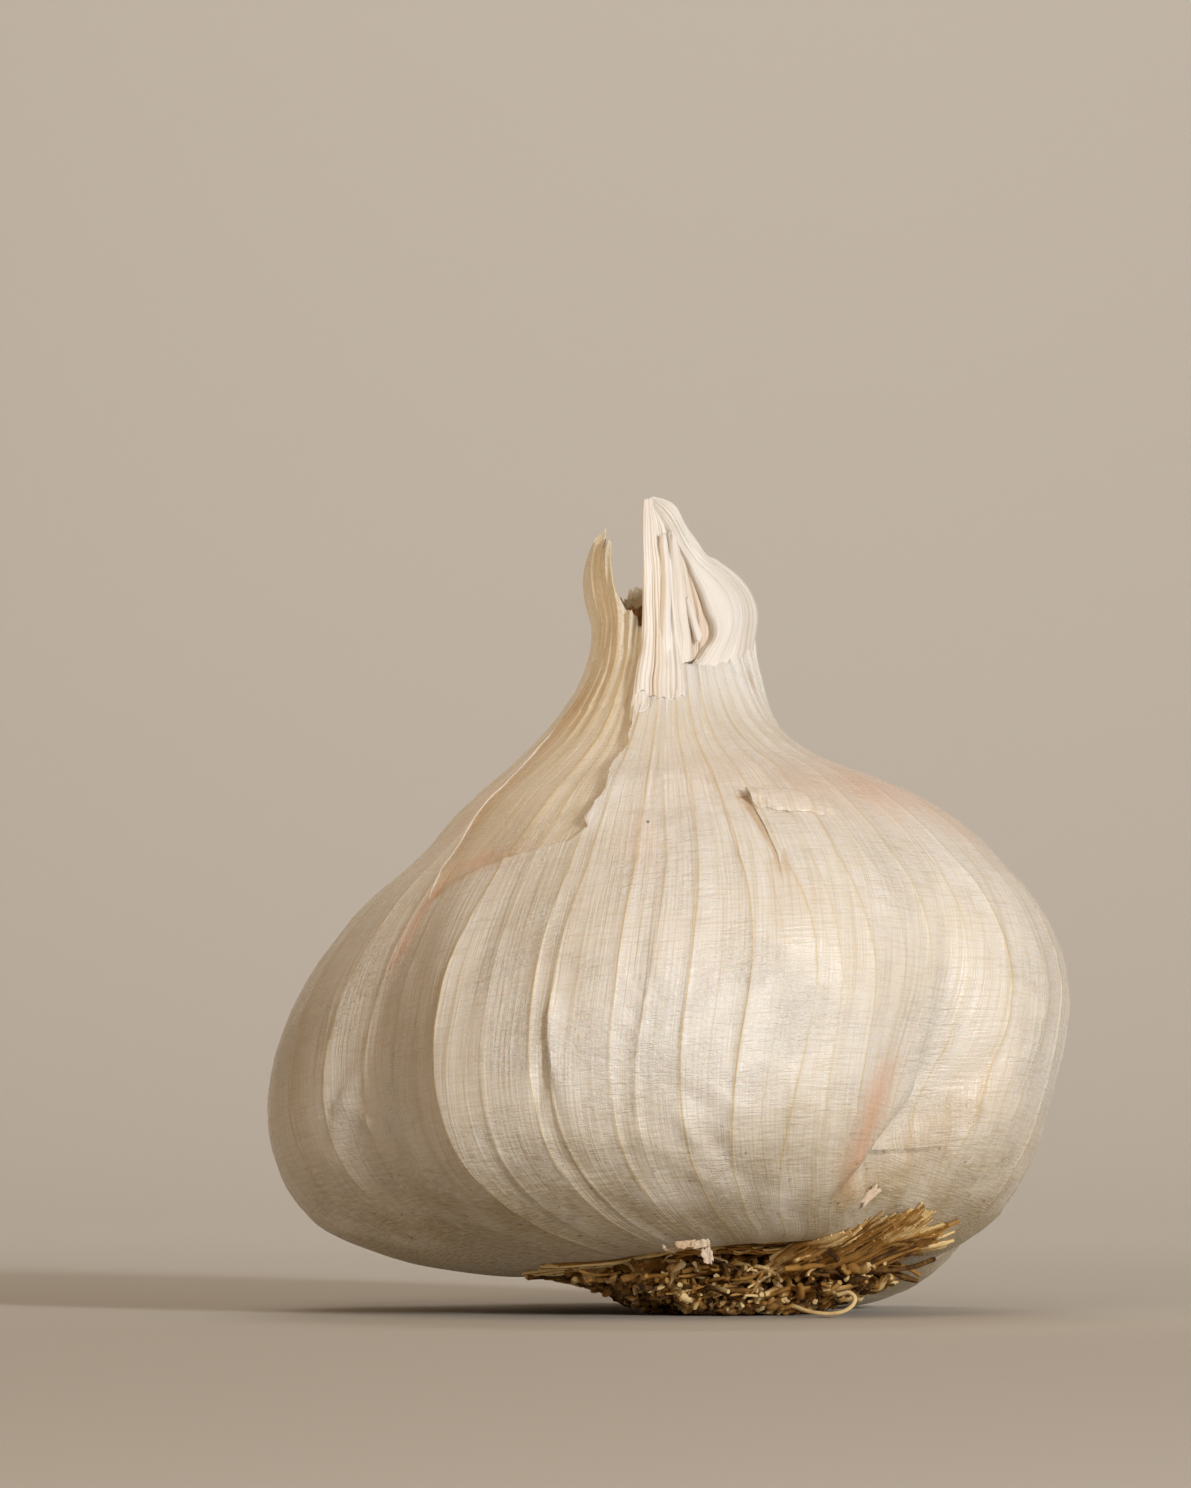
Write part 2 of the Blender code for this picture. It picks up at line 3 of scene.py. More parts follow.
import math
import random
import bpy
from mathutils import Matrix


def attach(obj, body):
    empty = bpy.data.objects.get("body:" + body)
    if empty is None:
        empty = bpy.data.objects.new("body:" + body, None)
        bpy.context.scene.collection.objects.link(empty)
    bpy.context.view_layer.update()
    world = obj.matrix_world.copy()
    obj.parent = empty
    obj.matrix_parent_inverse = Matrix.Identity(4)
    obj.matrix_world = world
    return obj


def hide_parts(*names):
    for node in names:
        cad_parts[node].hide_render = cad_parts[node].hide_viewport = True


bl_info = {
    "name": "Garlic Bulb",
    "version": (1, 0, 0),
    "blender": (4, 5, 0),
    "location": "View3D > Sidebar > Garlic",
    "description": "A whole garlic bulb with papery skin, a torn dry neck and trimmed roots",
    "category": "Object",
}

import bmesh
import bpy
import numpy as np
from mathutils import Matrix, Vector, noise
from mathutils.bvhtree import BVHTree

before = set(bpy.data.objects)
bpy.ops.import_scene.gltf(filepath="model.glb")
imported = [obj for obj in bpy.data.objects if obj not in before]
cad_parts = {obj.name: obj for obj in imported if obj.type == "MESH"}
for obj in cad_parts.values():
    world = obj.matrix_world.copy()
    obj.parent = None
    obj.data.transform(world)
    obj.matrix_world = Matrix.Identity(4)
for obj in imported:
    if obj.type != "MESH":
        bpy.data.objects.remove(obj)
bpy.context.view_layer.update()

MM = 0.001
DEGREE = math.radians(1.0)

# How the bulb rests, as in the solids
LEAN_BACK = 8.5
LEAN_LEFT = 4.8
LIFT = 3.45

# Side view of the wrapped cloves in the growing frame, in millimetres: (radius, height)
SKIN_PROFILE = (
    (0.0, 3.4), (6.5, 3.4), (9.0, 2.6), (11.8, 0.9), (15.8, 0.1), (20.6, 0.9), (25.5, 3.0), (29.7, 6.8),
    (31.8, 11.6), (32.5, 17.0), (31.7, 21.8), (29.5, 26.4), (26.3, 30.4), (22.6, 33.8), (18.7, 37.0),
    (14.3, 39.8), (11.1, 42.4), (8.9, 45.2), (7.4, 48.2), (6.6, 51.0), (6.5, 53.0),
)
MOUTH_PROFILE = (
    (6.46, 53.05), (6.34, 53.05), (6.28, 52.6), (6.14, 51.0), (5.9, 49.2), (5.4, 48.0), (2.4, 47.8),
    (0.0, 47.8),
)
# How high the neck's wall stands, by angle: a tall shard on the left, low in front under the hood
RIM = (
    (-180.0, 56.6), (-160.0, 57.2), (-147.0, 56.3), (-130.0, 56.5), (-119.0, 57.0), (-105.0, 58.6),
    (-90.0, 59.6), (-80.0, 60.0), (-70.0, 59.4), (-62.0, 59.8), (-56.0, 58.9), (-50.0, 59.2),
    (-45.0, 58.2), (-42.0, 55.4), (-38.0, 54.0), (-33.0, 52.8), (-27.0, 52.0), (-21.0, 51.1),
    (-14.0, 50.4), (-4.0, 49.4), (3.0, 48.2), (36.0, 48.2), (48.0, 50.0), (90.0, 51.0), (120.0, 52.5),
    (135.0, 54.0), (150.0, 55.3), (165.0, 56.2), (180.0, 56.6),
)
# The radius of the neck's wall where it stands above the rest: (height, radius)
NECK_LINE = (
    (55.5, 6.75), (57.5, 6.6), (59.0, 6.2), (60.5, 5.6),
)
MOUTH_RADIUS = 5.6
# The height where the bulb is widest
WIDEST = 17.0
CENTRE_SHIFT = (
    (0.0, -0.8), (2.0, -3.2), (6.0, -5.0), (12.0, -5.1), (20.0, -3.6), (28.0, -2.3), (35.0, -1.9),
    (42.0, -1.6), (48.0, -1.0), (53.0, -0.5),
)
SIDE_SWELL = (
    (30.0, 0.0), (35.0, 0.7), (39.8, -1.45), (42.4, -1.4), (45.2, -0.8), (48.2, -0.2), (51.0, 0.0),
)
CLOVE_HANG = (
    (140.0, 2.3, 34.0), (228.0, -2.2, 40.0),
)
HANG_BY_HEIGHT = (
    (3.0, 1.0), (9.0, 0.35), (15.0, 0.0),
)
HANG_BY_RADIUS = (
    (9.0, 0.0), (15.0, 1.0),
)
GROOVES = (
    (43.0, 0.125, 12.0), (104.0, 0.095, 11.0), (160.0, 0.120, 12.0), (214.0, 0.100, 12.0),
    (266.0, 0.075, 11.0), (311.0, 0.060, 13.0),
)
GROOVE_BY_HEIGHT = (
    (0.0, 1.0), (10.0, 1.0), (18.0, 0.62), (26.0, 0.3), (34.0, 0.22), (42.0, 0.0),
)

# The front's veins: (angle at the belly, strength, how far the skin steps at it in mm)
FRONT_VEINS = (
    (-66.0, 0.6, 0.08), (-57.0, 0.8, -0.06), (-50.0, 0.5, 0.04), (-43.0, 0.5, -0.10),
    (-33.0, 1.5, -0.16), (-26.5, 0.3, 0.03), (-19.0, 1.0, -0.10), (-16.0, 0.9, 0.05),
    (-8.0, 1.1, -0.10), (-3.5, 0.4, 0.04), (3.0, 1.2, -0.14), (11.0, 1.2, 0.10), (20.0, 1.0, -0.06),
    (25.0, 0.3, 0.03), (30.5, 0.8, 0.08), (36.0, 0.4, -0.05), (42.0, 0.5, 0.05), (50.0, 0.5, -0.06),
    (57.0, 0.9, 0.08), (66.0, 0.9, -0.08),
)
# Where a single dark speck sits on the skin, in metres at rest, its depth scaled by 0.15
SPECK = (-0.00711, -0.00275, 0.03852)
VEIN_GAP = 8.5
VEIN_JITTER = 2.4
SEED = 11

# Where the outermost sheet has torn away: (height, left angle, right angle)
TORN_WINDOW = (
    (28.6, -46.0, -44.0), (29.5, -47.0, -40.5), (30.4, -47.5, -36.5), (31.0, -48.2, -31.0),
    (31.3, -48.6, -25.5), (31.6, -49.0, -19.5), (32.6, -50.0, -17.0), (33.6, -51.2, -18.2),
    (35.0, -53.5, -17.2), (36.2, -55.2, -15.8), (37.4, -57.0, -16.4), (39.1, -58.5, -17.5),
    (40.8, -61.0, -15.2), (42.4, -64.0, -16.4), (43.8, -65.5, -17.0), (45.2, -66.5, -18.0),
    (48.9, -69.0, -19.0), (50.6, -71.0, -20.0),
)

# Heights of the window's foot, of where it is fully open, and of where its step grows shallow again
WINDOW_FOOT = TORN_WINDOW[0][0]
WINDOW_OPEN = 30.0
WINDOW_NARROW = 45.5

# The slit beside the lifted corner of the right shoulder: (height, left angle, right angle)
SLIT = (
    (25.7, 15.4, 15.7), (27.5, 15.0, 15.5), (29.6, 14.4, 15.3), (31.6, 13.6, 15.1), (33.0, 12.8, 15.2),
    (34.2, 12.0, 15.0),
)
# The lifted corner, from its root up and over its rolled edge: (height, rise, left angle, right angle)
LIFTED_CORNER = (
    (25.6, -0.45, 15.7, 22.0), (27.5, -0.18, 15.5, 26.0), (29.6, -0.03, 15.2, 29.0),
    (31.6, 0.03, 14.9, 32.5), (33.0, 0.10, 14.6, 35.5), (33.8, 0.26, 14.3, 37.0),
    (34.5, 0.50, 14.0, 38.0), (34.9, 0.76, 13.9, 38.5), (34.8, 0.98, 13.9, 38.5),
    (34.3, 1.04, 14.1, 38.0), (33.7, 0.84, 14.4, 37.5), (33.2, 0.50, 14.8, 37.0),
    (32.9, 0.20, 15.2, 36.5),
)


# The deep crease beside the front clove's right edge: (height, angle, depth)
RIGHT_CREASE = (
    (0.3, 20.0, 0.0), (3.0, 30.0, 0.9), (4.7, 36.0, 1.5), (6.8, 41.0, 1.8), (8.5, 45.0, 1.8),
    (10.3, 47.0, 1.5), (14.3, 47.0, 0.85), (17.0, 46.0, 0.6), (20.6, 45.0, 0.4), (26.0, 45.0, 0.12),
    (30.0, 45.0, 0.0),
)
# The soft valley beside the left clove, and the ridge on its right: (height, angle, depth)
LEFT_VALLEY = (
    (0.5, -60.0, 0.0), (3.0, -55.0, 0.35), (7.3, -49.0, 0.55), (11.6, -48.0, 0.6), (15.7, -46.0, 0.6),
    (20.6, -47.0, 0.6), (25.3, -45.0, 0.5), (30.4, -47.0, 0.2), (34.0, -48.0, 0.0),
)
LEFT_RIDGE = (
    (2.0, -34.0, 0.0), (5.2, -33.0, 0.25), (9.1, -33.0, 0.35), (17.6, -33.0, 0.4), (22.4, -35.0, 0.4),
    (26.9, -36.5, 0.3), (31.0, -38.0, 0.0),
)
# Small dents and folds: (angle, height, length, width, lean in degrees, rise), sizes in millimetres
DENTS = (
    (6.3, 9.9, 2.2, 0.50, -57.0, 0.24), (6.0, 9.1, 2.4, 0.60, -57.0, -0.18),
    (4.6, 6.3, 2.6, 0.60, -38.0, 0.26), (7.6, 5.2, 3.0, 1.10, -32.0, -0.42),
    (-0.5, 5.6, 3.0, 0.70, -50.0, 0.16), (-15.6, 15.4, 2.8, 0.45, -8.0, 0.26),
    (-14.2, 11.4, 2.6, 0.45, -16.0, 0.24), (-12.6, 7.6, 3.0, 0.50, -14.0, 0.22),
    (-17.2, 11.8, 2.4, 0.60, 14.0, -0.20), (-54.0, 13.4, 2.4, 0.50, 34.0, 0.30),
    (-47.5, 10.8, 2.8, 0.60, -38.0, -0.30), (-50.0, 11.6, 2.0, 0.60, -40.0, 0.24),
    (31.0, 7.4, 1.2, 0.35, -30.0, 0.22), (29.6, 6.8, 1.0, 0.30, -30.0, -0.20),
    (50.0, 13.4, 1.6, 0.40, -12.0, 0.26), (47.2, 12.2, 1.0, 0.35, -20.0, -0.26),
    (56.0, 11.5, 3.0, 1.60, 50.0, -0.36), (62.0, 13.0, 3.4, 1.50, 46.0, 0.24),
    (-28.0, 24.0, 5.0, 1.60, 8.0, -0.16), (-2.0, 20.5, 3.2, 1.20, -12.0, 0.14),
    (15.0, 21.0, 3.0, 1.40, 16.0, 0.14), (24.0, 30.5, 4.0, 1.80, -30.0, 0.15),
    (-5.0, 31.0, 3.6, 0.80, 66.0, 0.10), (12.0, 29.0, 3.2, 0.70, -70.0, 0.10),
)
# Patches where the skin is finely crinkled and glints: (angle, height, reach in millimetres, how strong)
CRINKLED = (
    (-1.0, 16.2, 4.2, 1.5), (15.5, 15.6, 4.8, 1.4), (-14.0, 13.0, 5.0, 0.6), (6.0, 6.0, 6.0, 0.7),
    (-50.0, 11.0, 4.5, 0.8), (52.0, 12.5, 5.0, 0.6), (95.0, 14.0, 7.0, 0.7), (150.0, 12.0, 8.0, 0.6),
    (-120.0, 15.0, 8.0, 0.7),
)


# Small tools for tables, points and meshes

def table_values(table, x):
    """Values at x, a number or an array, on a smooth curve through the pairs of a table."""
    xs = np.array([row[0] for row in table])
    ys = np.array([row[1] for row in table])
    x = np.clip(np.asarray(x, float), xs[0], xs[-1])
    i = np.clip(np.searchsorted(xs, x, side="right") - 1, 0, len(xs) - 2)
    before = np.maximum(np.arange(len(xs)) - 1, 0)
    after = np.minimum(np.arange(len(xs)) + 1, len(xs) - 1)
    slopes = (ys[after] - ys[before]) / (xs[after] - xs[before])
    gap = xs[i + 1] - xs[i]
    t = (x - xs[i]) / gap
    return (
        ys[i] * (2 * t ** 3 - 3 * t ** 2 + 1) + slopes[i] * gap * (t ** 3 - 2 * t ** 2 + t)
        + ys[i + 1] * (3 * t ** 2 - 2 * t ** 3) + slopes[i + 1] * gap * (t ** 3 - t ** 2)
    )


def line_values(table, column, x):
    """Values at x on straight lines through one column of a table, against its first column."""
    return np.interp(x, [row[0] for row in table], [row[column] for row in table])


def spline(points, count):
    """So many points, evenly spread by parameter, on a smooth curve through rows of points."""
    points = np.asarray(points, float)
    last = len(points) - 1
    s = np.linspace(0.0, last, count)
    i = np.minimum(s.astype(int), last - 1)
    t = (s - i).reshape((-1,) + (1,) * (points.ndim - 1))
    p0 = points[np.maximum(i - 1, 0)]
    p1 = points[i]
    p2 = points[i + 1]
    p3 = points[np.minimum(i + 2, last)]
    return 0.5 * (2 * p1 + (p2 - p0) * t + (2 * p0 - 5 * p1 + 4 * p2 - p3) * t ** 2
                  + (3 * p1 - p0 - 3 * p2 + p3) * t ** 3)


def bell(offset, width):
    """From 1 in the middle down to 0, so wide, at many offsets."""
    return np.exp(-(offset / width) ** 2)


def smooth_step(low, high, x):
    """From 0 at low to 1 at high, with soft ends."""
    t = np.clip((np.asarray(x, float) - low) / (high - low), 0.0, 1.0)
    return t * t * (3.0 - 2.0 * t)


def band(start, full, still, end, x):
    """From 0 at start to 1 at full, and from 1 at still back to 0 at end."""
    return smooth_step(start, full, x) * smooth_step(end, still, x)


def turn_between(angle, other):
    """The signed angle from other to angle, in degrees."""
    return (np.asarray(angle, float) - other + 180.0) % 360.0 - 180.0


def bumpy(a, b, c=0.0):
    """Smooth seeded noise, about -1 to 1, at many points given by arrays."""
    a, b, c = np.broadcast_arrays(np.asarray(a, float), b, c)
    flat = [noise.noise(Vector(p)) for p in zip(a.ravel(), b.ravel(), c.ravel())]
    return np.array(flat).reshape(a.shape)


def ring_noise(angle, waves, level):
    """Smooth seeded noise round the bulb: more waves make it finer round, and level moves through it."""
    turn = np.radians(angle)
    return bumpy(np.sin(turn) * waves, -np.cos(turn) * waves, level)


def resting_matrix():
    """From the growing frame in millimetres to the bulb at rest in metres."""
    back = Matrix.Rotation(-math.radians(LEAN_BACK), 4, "X")
    left = Matrix.Rotation(-math.radians(LEAN_LEFT), 4, "Y")
    return Matrix.Scale(MM, 4) @ Matrix.Translation((0, 0, LIFT)) @ back @ left


def at_rest(points):
    """Moves an array of points from the growing frame to where they rest."""
    matrix = np.array(resting_matrix())
    return points @ matrix[:3, :3].T + matrix[:3, 3]


def growing(points):
    """Moves an array of resting points in metres back to the growing frame in millimetres."""
    matrix = np.array(resting_matrix().inverted())
    return points @ matrix[:3, :3].T + matrix[:3, 3]


def skin_points(radius, angle, height, rise=0.0):
    """Points of the skin in the growing frame for arrays of radius, angle and height."""
    radius, angle, height, rise = np.broadcast_arrays(
        np.asarray(radius, float), np.asarray(angle, float), np.asarray(height, float), rise
    )
    groove = sum(depth * bell(turn_between(angle, at), width) for at, depth, width in GROOVES)
    hang = sum(drop * bell(turn_between(angle, at), width) for at, drop, width in CLOVE_HANG)
    turn = np.radians(angle)
    size = radius * (1.0 - groove * table_values(GROOVE_BY_HEIGHT, height)) + rise
    size = size + table_values(SIDE_SWELL, height) * np.sin(turn) ** 3
    return np.stack((
        table_values(CENTRE_SHIFT, height) * np.minimum(1.0, radius / MOUTH_RADIUS) + size * np.sin(turn),
        -size * np.cos(turn),
        height - hang * table_values(HANG_BY_HEIGHT, height) * table_values(HANG_BY_RADIUS, radius),
    ), axis=-1)


def skin_radius(height):
    """The radius of the wrapped cloves at heights above their widest."""
    return table_values([(c, r) for r, c in SKIN_PROFILE if c >= WIDEST] + list(NECK_LINE), height)


def vein_table():
    """Angle, strength and step of every vein: the front's as listed, the rest at random."""
    chance = random.Random(SEED)
    start, end = FRONT_VEINS[-1][0], FRONT_VEINS[0][0] + 360.0
    count = round((end - start) / VEIN_GAP)
    gap = (end - start) / count
    rest = []
    for k in range(1, count):
        angle = start + k * gap + chance.uniform(-VEIN_JITTER, VEIN_JITTER)
        rest.append((angle, chance.uniform(0.3, 1.15), chance.uniform(-0.14, 0.14)))
    return np.array(list(FRONT_VEINS) + rest)


VEINS, VEIN_STRENGTH, VEIN_STEP = vein_table().T
VEIN_PHASE = np.random.default_rng(SEED).uniform(0.0, 2.0 * math.pi, len(VEINS))


def vein_lines(height):
    """The angle of every vein at each height: they bow outward at the belly and waver a little."""
    height = np.asarray(height, float)[..., None]
    side = np.clip(turn_between(VEINS, 0.0) / 20.0, -0.35, 1.0)
    side = side * np.clip((100.0 - np.abs(turn_between(VEINS, 0.0))) / 40.0, 0.0, 1.0)
    bow = -side * 3.4 * np.minimum(((height - 15.0) / 12.0) ** 2, 1.3)
    waver = 0.7 * np.sin(0.16 * height + VEIN_PHASE) * smooth_step(48.0, 30.0, height)
    return VEINS + bow + waver


def vein_place(angle, height, radius):
    """For each point: nearest vein, vein on its left, signed distance in mm, place in the gap, gap in mm."""
    lines = vein_lines(height)
    offsets = turn_between(np.asarray(angle)[..., None], lines)
    behind = np.where(offsets >= 0.0, offsets, 999.0)
    left = behind.argmin(-1)
    from_left = np.take_along_axis(offsets, left[..., None], -1)[..., 0]
    right = (left + 1) % len(VEINS)
    to_right = -np.take_along_axis(offsets, right[..., None], -1)[..., 0]
    to_right = np.where(to_right < 0.0, to_right + 360.0, to_right)
    gap = from_left + to_right
    place = from_left / gap
    scale = DEGREE * np.asarray(radius)
    nearest = np.where(place < 0.5, left, right)
    distance = np.where(place < 0.5, from_left, -to_right) * scale
    return nearest, left, distance, place, gap * scale


def valley(table, angle, height, radius, left, right):
    """How deep each point lies in a valley that follows a table of (height, angle, depth), in mm."""
    depth = line_values(table, 2, height)
    off = turn_between(angle, table_values(table, height)) * DEGREE * radius
    return depth * bell(off, np.where(off < 0.0, left, right))


def crinkled_share(angle, height, degree):
    """How strongly the skin is crinkled at each point, where a degree is so many millimetres."""
    return sum(
        strength * bell(np.hypot(turn_between(angle, at) * degree, height - level), reach)
        for at, level, reach, strength in CRINKLED
    )


def skin_relief(radius, angle, height):
    """How far the dry skin stands out or sags at each point, in mm: ribs, creases, dents and wrinkles."""
    shape = bpy.context.scene.garlic_skin
    nearest, left, distance, place, gap = vein_place(angle, height, radius)
    fade = smooth_step(8.5, 13.0, np.maximum(radius, np.where(height > 15.0, 20.0, 0.0)))
    neck = smooth_step(34.0, 47.0, height)
    wide = shape.rib_width / MM * (1.0 - 0.25 * neck)
    rib = VEIN_STRENGTH[nearest] * (shape.rib_height / MM) * (1.0 + 0.2 * neck)
    rib = rib * (0.7 + 0.3 * np.sin(0.35 * height + VEIN_PHASE[nearest]))
    rise = rib * bell(distance, wide)
    slow = 0.6 + 0.4 * np.sin(0.12 * height + 2.0 * VEIN_PHASE[left])
    edge = np.minimum(place * gap, (1.0 - place) * gap)
    ramp = np.tanh(edge / 0.4)
    rise = rise + 0.75 * VEIN_STEP[left] * slow * (place - 0.5) * 2.0 * ramp * (1.0 - 0.6 * neck)
    rise = rise - (shape.sag / MM) * slow * 4.0 * place * (1.0 - place) * (1.0 + 0.2 * neck)
    # unevenness from clove-wide to fine, with sharp folds where the noise crosses zero, and more of it low down
    low = smooth_step(15.0, 4.0, height)
    rise = rise + 0.22 * ring_noise(angle, 3.0, height * 0.075)
    rise = rise + 0.09 * ring_noise(angle, 9.0, height * 0.16)
    rise = rise + 0.05 * (1.0 - 2.0 * np.abs(ring_noise(angle, 13.0, height * 0.5)))
    rise = rise + 0.035 * smooth_step(44.0, 34.0, height) * ring_noise(angle, 12.0, height * 1.25 + 20.0)
    rise = rise + 0.14 * low * ring_noise(angle, 7.0, height * 0.5)
    rise = rise + 0.10 * low * (1.0 - 2.0 * np.abs(ring_noise(angle, 13.0, height * 1.1 + 3.0)))
    degree = DEGREE * radius
    turn = np.radians(angle)
    fine = 0.4 - 1.4 * np.abs(bumpy(np.sin(turn) * 24.0 + 0.4 * height, -np.cos(turn) * 24.0, height * 0.9))
    rise = rise + 0.20 * crinkled_share(angle, height, degree) * fine
    for at, level, length, width, lean, lift in DENTS:
        across = turn_between(angle, at) * degree
        along = height - level
        c, s = math.cos(math.radians(lean)), math.sin(math.radians(lean))
        crossed = ((across * c - along * s) / width) ** 2 + ((across * s + along * c) / length) ** 2
        rise = rise + shape.fold_strength * lift * np.exp(-crossed)
    rise = rise - valley(RIGHT_CREASE, angle, height, radius, 0.7, 3.8)
    rise = rise - valley(LEFT_VALLEY, angle, height, radius, 3.6, 3.0)
    rise = rise + valley(LEFT_RIDGE, angle, height, radius, 1.6, 2.6)
    pleat = ring_noise(angle, 9.0, 5.0 + height * 0.03) + 0.5 * ring_noise(angle, 22.0, 9.0 + height * 0.03)
    pleat = pleat * neck * (0.17 + 0.12 * smooth_step(48.0, 54.0, height))
    flare = 0.35 * smooth_step(52.0, 59.0, height) * ring_noise(angle, 5.0, height * 0.25)
    return (rise + pleat + flare) * fade


def faces_of_grid(rows, columns, closed):
    """Four-sided faces of a grid of points numbered row by row, closed round if asked."""
    i = np.arange(rows - 1)[:, None]
    j = np.arange(columns if closed else columns - 1)[None, :]
    k = (j + 1) % columns
    first, after = i * columns, (i + 1) * columns
    return np.stack((first + j, first + k, after + k, after + j), -1).reshape(-1, 4)


def capped_faces(rows, columns):
    """Faces of a grid of points closed round, with one face over each end."""
    count = rows * columns
    sides = faces_of_grid(rows, columns, True).tolist()
    return sides + [list(range(columns))[::-1], list(range(count - columns, count))]


def new_piece(name, points, faces, material=None):
    """A smooth mesh object with its place in its mesh."""
    mesh = bpy.data.meshes.new(name)
    mesh.from_pydata(np.asarray(points).tolist(), [], faces if isinstance(faces, list) else faces.tolist())
    obj = bpy.data.objects.new(name, mesh)
    bpy.context.scene.collection.objects.link(obj)
    if material is not None:
        mesh.materials.append(material)
    smooth(obj)
    return obj


def smooth(obj):
    """Shades every face smooth."""
    obj.data.polygons.foreach_set("use_smooth", [True] * len(obj.data.polygons))


def apply_modifiers(obj):
    """Replaces the object's mesh with the result of its modifiers, which are then removed."""
    graph = bpy.context.evaluated_depsgraph_get()
    evaluated = obj.evaluated_get(graph)
    result = bpy.data.meshes.new_from_object(evaluated, preserve_all_data_layers=True, depsgraph=graph)
    obj.modifiers.clear()
    obj.data = result


def face_outward(obj):
    """Turns every face of a closed mesh to look outward."""
    shape = bmesh.new()
    shape.from_mesh(obj.data)
    bmesh.ops.recalc_face_normals(shape, faces=shape.faces)
    shape.to_mesh(obj.data)
    shape.free()


def closed_slab(name, inner, outer):
    """A closed solid lofted between two grids of points of the same size."""
    rows, columns = inner.shape[:2]
    size = rows * columns
    faces = faces_of_grid(rows, columns, False)
    walls = []
    rim = list(range(columns))
    rim += [i * columns + columns - 1 for i in range(1, rows)]
    rim += [(rows - 1) * columns + i for i in range(columns - 2, -1, -1)]
    rim += [i * columns for i in range(rows - 2, 0, -1)]
    for i, k in enumerate(rim):
        after = rim[(i + 1) % len(rim)]
        walls.append((k, after, after + size, k + size))
    faces = np.concatenate((faces[:, ::-1], faces + size, np.array(walls)))
    obj = new_piece(name, np.concatenate((inner.reshape(-1, 3), outer.reshape(-1, 3))), faces)
    face_outward(obj)
    return obj


def point_values(obj, name, values):
    """Stores one number for each point of a piece, for its material to read."""
    attribute = obj.data.attributes.get(name) or obj.data.attributes.new(name, "FLOAT", "POINT")
    attribute.data.foreach_set("value", np.ascontiguousarray(values, dtype=np.float32))


def corner_map(obj, u, v):
    """Stores a UV map from one u in turns and one v for each point, mending the seam where u wraps."""
    mesh = obj.data
    layer = mesh.uv_layers.get("skin_map") or mesh.uv_layers.new(name="skin_map")
    corners = np.zeros(len(mesh.loops), np.int32)
    mesh.loops.foreach_get("vertex_index", corners)
    sizes = np.zeros(len(mesh.polygons), np.int32)
    mesh.polygons.foreach_get("loop_total", sizes)
    starts = np.zeros(len(mesh.polygons), np.int32)
    mesh.polygons.foreach_get("loop_start", starts)
    face = np.repeat(np.arange(len(sizes)), sizes)
    first = u[corners[starts]][face]
    around = u[corners]
    around = around - np.round(around - first)
    flat = np.stack((around, v[corners]), -1).astype(np.float32)
    layer.data.foreach_set("uv", flat.ravel())


# Materials

def to_linear(color):
    """An sRGB colour, a hex string or three values, as linear red, green, blue and alpha."""
    if isinstance(color, str):
        color = [int(color[i:i + 2], 16) / 255.0 for i in (1, 3, 5)]
    return tuple(v / 12.92 if v <= 0.04045 else ((v + 0.055) / 1.055) ** 2.4 for v in color) + (1.0,)


def add_node(tree, kind, settings=None, inputs=None, **links):
    """Adds a node with its settings, input values by name or number, and links from other sockets."""
    node = tree.nodes.new(kind)
    for key, value in (settings or {}).items():
        setattr(node, key, value)
    for key, value in (inputs or {}).items():
        node.inputs[key].default_value = value
    for key, socket in links.items():
        place = int(key[2:]) if key.startswith("in") and key[2:].isdigit() else key.replace("_", " ")
        tree.links.new(socket, node.inputs[place])
    return node


def new_material(name):
    """An empty material with its node tree, its output and a Principled BSDF."""
    material = bpy.data.materials.new(name)
    material.use_nodes = True
    tree = material.node_tree
    tree.nodes.clear()
    output = tree.nodes.new("ShaderNodeOutputMaterial")
    shader = tree.nodes.new("ShaderNodeBsdfPrincipled")
    tree.links.new(shader.outputs["BSDF"], output.inputs["Surface"])
    return material, tree, shader


def blend_colors(tree, factor, first, second):
    """A mix of two colours, sRGB values or sockets, by a factor from a socket."""
    mix = add_node(tree, "ShaderNodeMix", {"data_type": "RGBA"}, in0=factor)
    for socket, value in ((mix.inputs[6], first), (mix.inputs[7], second)):
        if isinstance(value, bpy.types.NodeSocket):
            tree.links.new(value, socket)
        else:
            socket.default_value = to_linear(value)
    return mix.outputs[2]


def layered(tree, color, layers):
    """A colour with others laid over it in turn, each by its factor."""
    for factor, over in layers:
        color = blend_colors(tree, factor, color, over)
    return color


def remap(tree, value, low, high, out_low=0.0, out_high=1.0):
    """A value taken from one range to another, held at its ends."""
    node = add_node(tree, "ShaderNodeMapRange", {"interpolation_type": "SMOOTHSTEP"},
                    {1: low, 2: high, 3: out_low, 4: out_high}, in0=value)
    return node.outputs[0]


def calculate(tree, operation, *values):
    """The result of one kind of sum on numbers or sockets."""
    node = add_node(tree, "ShaderNodeMath", {"operation": operation})
    for socket, value in zip(node.inputs, values):
        if isinstance(value, bpy.types.NodeSocket):
            tree.links.new(value, socket)
        else:
            socket.default_value = value
    return node.outputs[0]


def times(tree, first, second):
    """The product of two numbers or sockets."""
    return calculate(tree, "MULTIPLY", first, second)


def plus(tree, first, second):
    """The sum of two numbers or sockets."""
    return calculate(tree, "ADD", first, second)


def minus(tree, first, second):
    """The difference of two numbers or sockets."""
    return calculate(tree, "SUBTRACT", first, second)


def stretched_noise(tree, vector, scale, detail=2.0, rough=0.5):
    """Noise on coordinates that a Mapping node stretches."""
    mapping = add_node(tree, "ShaderNodeMapping", inputs={"Scale": scale}, Vector=vector)
    return add_node(tree, "ShaderNodeTexNoise", inputs={"Scale": 1.0, "Detail": detail, "Roughness": rough},
                    Vector=mapping.outputs[0]).outputs["Fac"]


